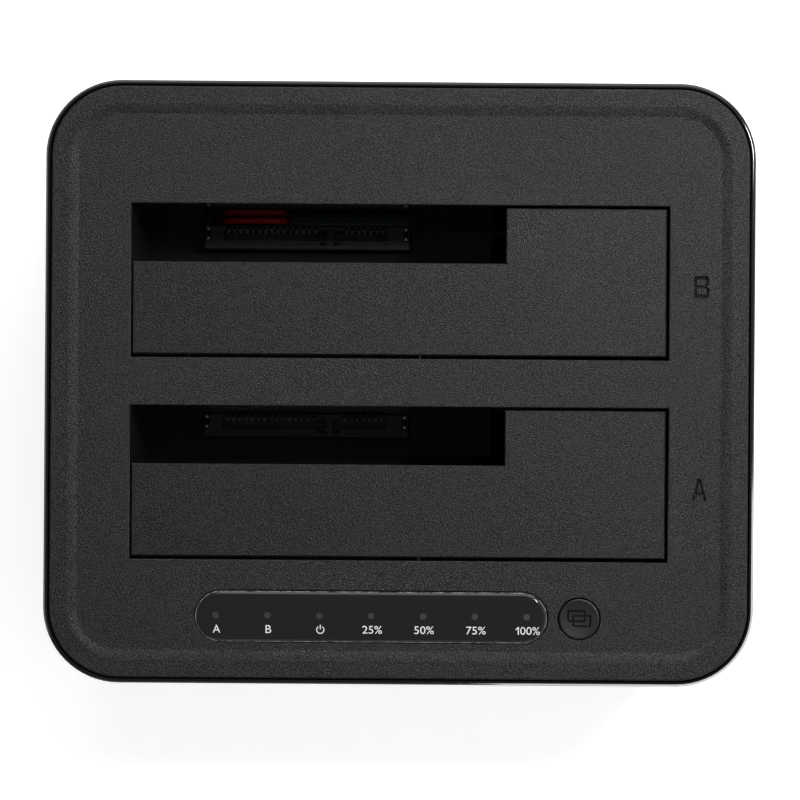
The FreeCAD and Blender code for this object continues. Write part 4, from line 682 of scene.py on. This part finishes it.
LABELS = ("A", "B", None, "25%", "50%", "75%", "100%")
LABEL_HEIGHT = 1.5 * MM
LABEL_DROP = 2.6 * MM       # label's middle in front of its light
LABEL_SHIFT = 0.22 * MM     # and to its right
LABEL_THICK = 0.03 * MM
LABEL_BOLD = 0.001          # letters' outlines grow by this share of their size
MARK_WIDTH = 3.75 * MM      # two digits and a per cent sign
LABEL_WIDTH = {"A": 1.42 * MM, "B": 1.1 * MM, "25%": MARK_WIDTH, "50%": MARK_WIDTH, "75%": MARK_WIDTH}
ONE_WIDTH = 0.62 * MM
ONE_SHIFT, NOUGHTS_SHIFT = -2.0 * MM, 0.42 * MM     # the parts of 100% from the label's middle
LAMP_SIZE = 2.0 * MM


def light_places():
    low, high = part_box("indicator_lamps")
    first, last = low[0] + LAMP_SIZE / 2, high[0] - LAMP_SIZE / 2
    return [first + (last - first) * n / (len(LABELS) - 1) for n in range(len(LABELS))]


def power_sign(x, y):
    """A ring open at its top, with a bar standing in the gap."""
    line = LABEL_HEIGHT * 0.13
    ring = arc_band(x, y - LABEL_HEIGHT * 0.04, LABEL_HEIGHT * 0.46, line, 122, 418)
    return [[ring], [box_loop(x, y + LABEL_HEIGHT * 0.3, line, LABEL_HEIGHT * 0.6)]]


def figure_one(x, y):
    """A 1 with a short flag."""
    low, high, line = y - LABEL_HEIGHT / 2, y + LABEL_HEIGHT / 2, LABEL_HEIGHT * 0.15
    right, left = x + ONE_WIDTH / 2, x - ONE_WIDTH / 2
    return [[(right - line, low), (right, low), (right, high), (right - line * 0.8, high),
             (left, high - line * 1.8), (left, high - line * 3.0), (right - line, high - line * 1.6)]]


def printed_labels():
    """White print on the lens: bay letters, the power sign and the progress marks."""
    white = ink("white_ink", (0.9, 0.9, 0.91, 1))
    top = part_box("indicator_lens")[1][2]
    middle = top + LABEL_THICK / 2
    y = centre("indicator_lamps").y - LABEL_DROP
    for n, (text, light) in enumerate(zip(LABELS, light_places())):
        name, x = "label_%d" % n, light + LABEL_SHIFT
        if text is None:
            label = extruded(name, power_sign(x, y), top, top + LABEL_THICK)
        elif text == "100%":
            one = extruded("label_one", [figure_one(x + ONE_SHIFT, y)], top, top + LABEL_THICK)
            finished(one, white)
            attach(one, "casing")
            label = lettering("00%", name, (x + NOUGHTS_SHIFT, y, middle), MARK_WIDTH)
        else:
            label = lettering(text, name, (x, y, middle), LABEL_WIDTH[text])
        finished(label, white)
        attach(label, "casing")


LENS_FOOT = 0.7 * MM        # the lens's foot sticks out this far, under the cover
LENS_ROUND = 0.7 * MM
# the painted highlight ring's width, and its top below the lens's top
EDGE_WIDE, EDGE_DROP = 0.13 * MM, 0.3 * MM


def lens_edge_highlight():
    """A painted highlight for the lens's rounded edge: a thin pale ring all round it."""
    low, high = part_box("indicator_lens")
    middle = centre("indicator_lens")
    length, width = high[0] - low[0] - 2 * LENS_FOOT, high[1] - low[1] - 2 * LENS_FOOT
    loops = [rounded_loop(middle.x, middle.y, length - 2 * inset, width - 2 * inset, width / 2 - inset, 8)
             for inset in (0, EDGE_WIDE)]
    ring = extruded("lens_edge_highlight", [loops], high[2] - LENS_ROUND, high[2] - EDGE_DROP)
    finished(ring, painted_edge_highlight())
    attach(ring, "casing")


ICON_LINE = 0.36 * MM
ICON_DEEP = 0.25 * MM
ICON_CARDS = ((-2.30, 1.21, -0.63, 1.69), (-1.35, 2.29, -1.55, 0.76))     # left, right, low and top
ICON_CORNER = 0.45 * MM


def card_loop(box, inset):
    """A card's outline, with its lower left corner cut off."""
    left, right, low, top = box[0] + inset, box[1] - inset, box[2] + inset, box[3] - inset
    cut = ICON_CORNER - inset * 0.6
    return [(left + cut, low), (right, low), (right, top), (left, top), (left, low + cut)]


def clone_icon(cx, cy):
    """Two overlapping cards, each drawn as a thin line."""
    cards = []
    for left, right, low, top in ICON_CARDS:
        box = (cx + left * MM, cx + right * MM, cy + low * MM, cy + top * MM)
        cards.append([card_loop(box, 0), card_loop(box, ICON_LINE)])
    return cards


DISH_DEEP = 0.35 * MM
DISH_RADIUS = 3.4 * MM


def engraved_button(material):
    """The button with its icon sunk in the dish, which is shaded as one smooth bowl."""
    middle = centre("clone_button")
    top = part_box("clone_button")[1][2]
    cutters = [
        extruded("cut_icon_%d" % n, [loops], top - DISH_DEEP - ICON_DEEP, top + MM)
        for n, loops in enumerate(clone_icon(middle.x, middle.y))
    ]
    button = engrave("clone_button", "engraved_button", cutters, material)
    radius = (DISH_RADIUS ** 2 + DISH_DEEP ** 2) / (2 * DISH_DEEP)
    ball = Vector((middle.x, middle.y, top - DISH_DEEP + radius))

    def dish_normal(face, spot):
        if face.normal.z > 0.99999 and face.center.z < top - DISH_DEEP - ICON_DEEP / 2:
            return UP
        if face.normal.z > 0.95 and abs((face.center - ball).length - radius) < 0.02 * MM:
            return ((ball - spot).normalized() + UP).normalized()
        return None

    set_normals(button, dish_normal)
    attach(button, "clone_button")


SILK_LINE, SILK_THICK = 0.14 * MM, 0.02 * MM
SILK_BEHIND = 0.97 * MM     # silk line behind a socket
SILK_AHEAD = 0.6 * MM
SLOT_END = 1.6 * MM         # slot past the outermost contact
SLOT_FRONT = 3.3 * MM       # slot's front edge from the socket's rear face
# width and thickness of the painted highlight strip along a slot's front edge
EDGE_LINE, EDGE_THICK = 0.09 * MM, 0.012 * MM


def slab_piece(name, low, high, material, body):
    """A plain block that goes with a body."""
    piece = finished(plain_box(name, low, high), material)
    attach(piece, body)


def socket_marks():
    """White board print round each socket, and a painted highlight along the front edge of its slot."""
    silk, edge = ink("board_ink", (0.5, 0.52, 0.48, 1)), ink("slot_edge_highlight", (0.16, 0.16, 0.16, 1))
    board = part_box("main_board")[1][2]
    for bay in BAYS:
        low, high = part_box("sata_socket_" + bay)
        pins_low, pins_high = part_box("sata_contacts_" + bay)
        left, right = pins_low[0] - SLOT_END, pins_high[0] + SLOT_END
        for name, y in (("rear", high[1] + SILK_BEHIND), ("front", low[1] - SILK_AHEAD)):
            slab_piece("silk_%s_%s" % (name, bay), (left, y - SILK_LINE / 2, board),
                       (right, y + SILK_LINE / 2, board + SILK_THICK), silk, "casing")
        # painted highlight: a pale grey strip for the light caught by the slot's front edge
        y = high[1] - SLOT_FRONT
        slab_piece("slot_edge_highlight_" + bay, (left, y - EDGE_LINE, high[2]), (right, y, high[2] + EDGE_THICK),
                   edge, "casing")


COIL_RADIUS = 1.2 * MM      # pin to the wire's middle
WIRE_RADIUS = 0.25 * MM
LEG_START = 0.1 * MM        # the leg is cut off this far behind the pin
LEG_ASIDE = 0.15 * MM       # the moving leg stands this far off the coil's last turn, to swing past it


def joint_place(name):
    joint = next(j for j in frame["record"]["behaviour"]["joints"] if j["name"] == name)
    return Vector(joint["pos_m"])


def plain_box(name, low, high):
    builder = bmesh.new()
    bmesh.ops.create_cube(builder, size=1.0)
    size = [b - a for a, b in zip(low, high)]
    middle = [(a + b) / 2 for a, b in zip(low, high)]
    bmesh.ops.transform(builder, matrix=Matrix.Translation(middle) @ Matrix.Diagonal((*size, 1)),
                        verts=builder.verts)
    mesh = bpy.data.meshes.new(name)
    builder.to_mesh(mesh)
    builder.free()
    box = bpy.data.objects.new(name, mesh)
    bpy.context.scene.collection.objects.link(box)
    return box


def split_spring(bay, material):
    """The coil with its fixed leg stays on the casing, and the other leg goes with the flap."""
    node, pin = "door_spring_" + bay, joint_place("flap_%s_hinge" % bay)
    low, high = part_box(node)
    near = low[0] + 2.04 * WIRE_RADIUS
    leg_low = (low[0] - MM, pin.y + LEG_START, pin.z + COIL_RADIUS - 1.1 * WIRE_RADIUS)
    leg_high = (near, high[1] + MM, high[2] + MM)
    for part, operation, body in (("coil", "DIFFERENCE", "casing"), ("leg", "INTERSECT", "flap_" + bay)):
        piece = cad_copy(node, "spring_%s_%s" % (part, bay))
        cutter = plain_box("cut_spring", leg_low, leg_high)
        cut = piece.modifiers.new("cut", "BOOLEAN")
        cut.operation, cut.solver, cut.object = operation, "EXACT", cutter
        apply_modifiers(piece)
        bpy.data.objects.remove(cutter)
        if part == "leg":
            piece.data.transform(Matrix.Translation((-LEG_ASIDE, 0, 0)))
        finished(piece, material, smooth_angle=40)
        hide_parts(node)
        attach(piece, body)


ROCKER_FACE = 2.4 * MM      # pivot to the rocker's ridge
ROCKER_TILT = 9.0           # degrees, each half against the middle
MARK_THICK = 0.03 * MM
MARK_REACH = 2.9 * MM       # ridge to a mark's middle
MARK_SIZE = 2.6 * MM
MARK_LINE = 0.42 * MM


def rocker_marks():
    """A ring on the rocker's off half and a bar on its on half, in white print."""
    white = ink("switch_ink", (0.75, 0.75, 0.75, 1))
    pivot = joint_place("power_rocker_rock")
    middle = centre("power_switch_body").z
    tilt = math.radians(ROCKER_TILT)
    ridge = Vector((pivot.x + ROCKER_FACE * math.sin(tilt), pivot.y + ROCKER_FACE * math.cos(tilt), middle))
    outer, inner = MARK_SIZE / 2, MARK_SIZE / 2 - MARK_LINE
    ring = [rounded_loop(0, 0, 2 * r, 2 * r, r * 0.999, 10) for r in (outer, inner)]
    bar = [box_loop(0, 0, MARK_LINE, MARK_SIZE)]
    for name, loops, along, turn in (("mark_off", ring, 1, 0.0), ("mark_on", bar, -1, -2 * tilt)):
        spot = ridge + Vector((along * math.cos(turn), along * math.sin(turn), 0)) * MARK_REACH
        mark = extruded(name, [loops], 0, MARK_THICK)
        mark.data.transform(Matrix.Translation(spot) @ Matrix.Rotation(turn, 4, "Z")
                            @ Matrix.Rotation(math.radians(-90), 4, "X"))
        finished(mark, white)
        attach(mark, "power_rocker")


def main():
    make_stage()
    looks = dress_cad_nodes()
    engraved_cover(looks["top_cover"])
    printed_labels()
    lens_edge_highlight()
    engraved_button(looks["clone_button"])
    for bay in BAYS:
        split_spring(bay, looks["door_spring_" + bay])
    rocker_marks()
    socket_marks()


main()
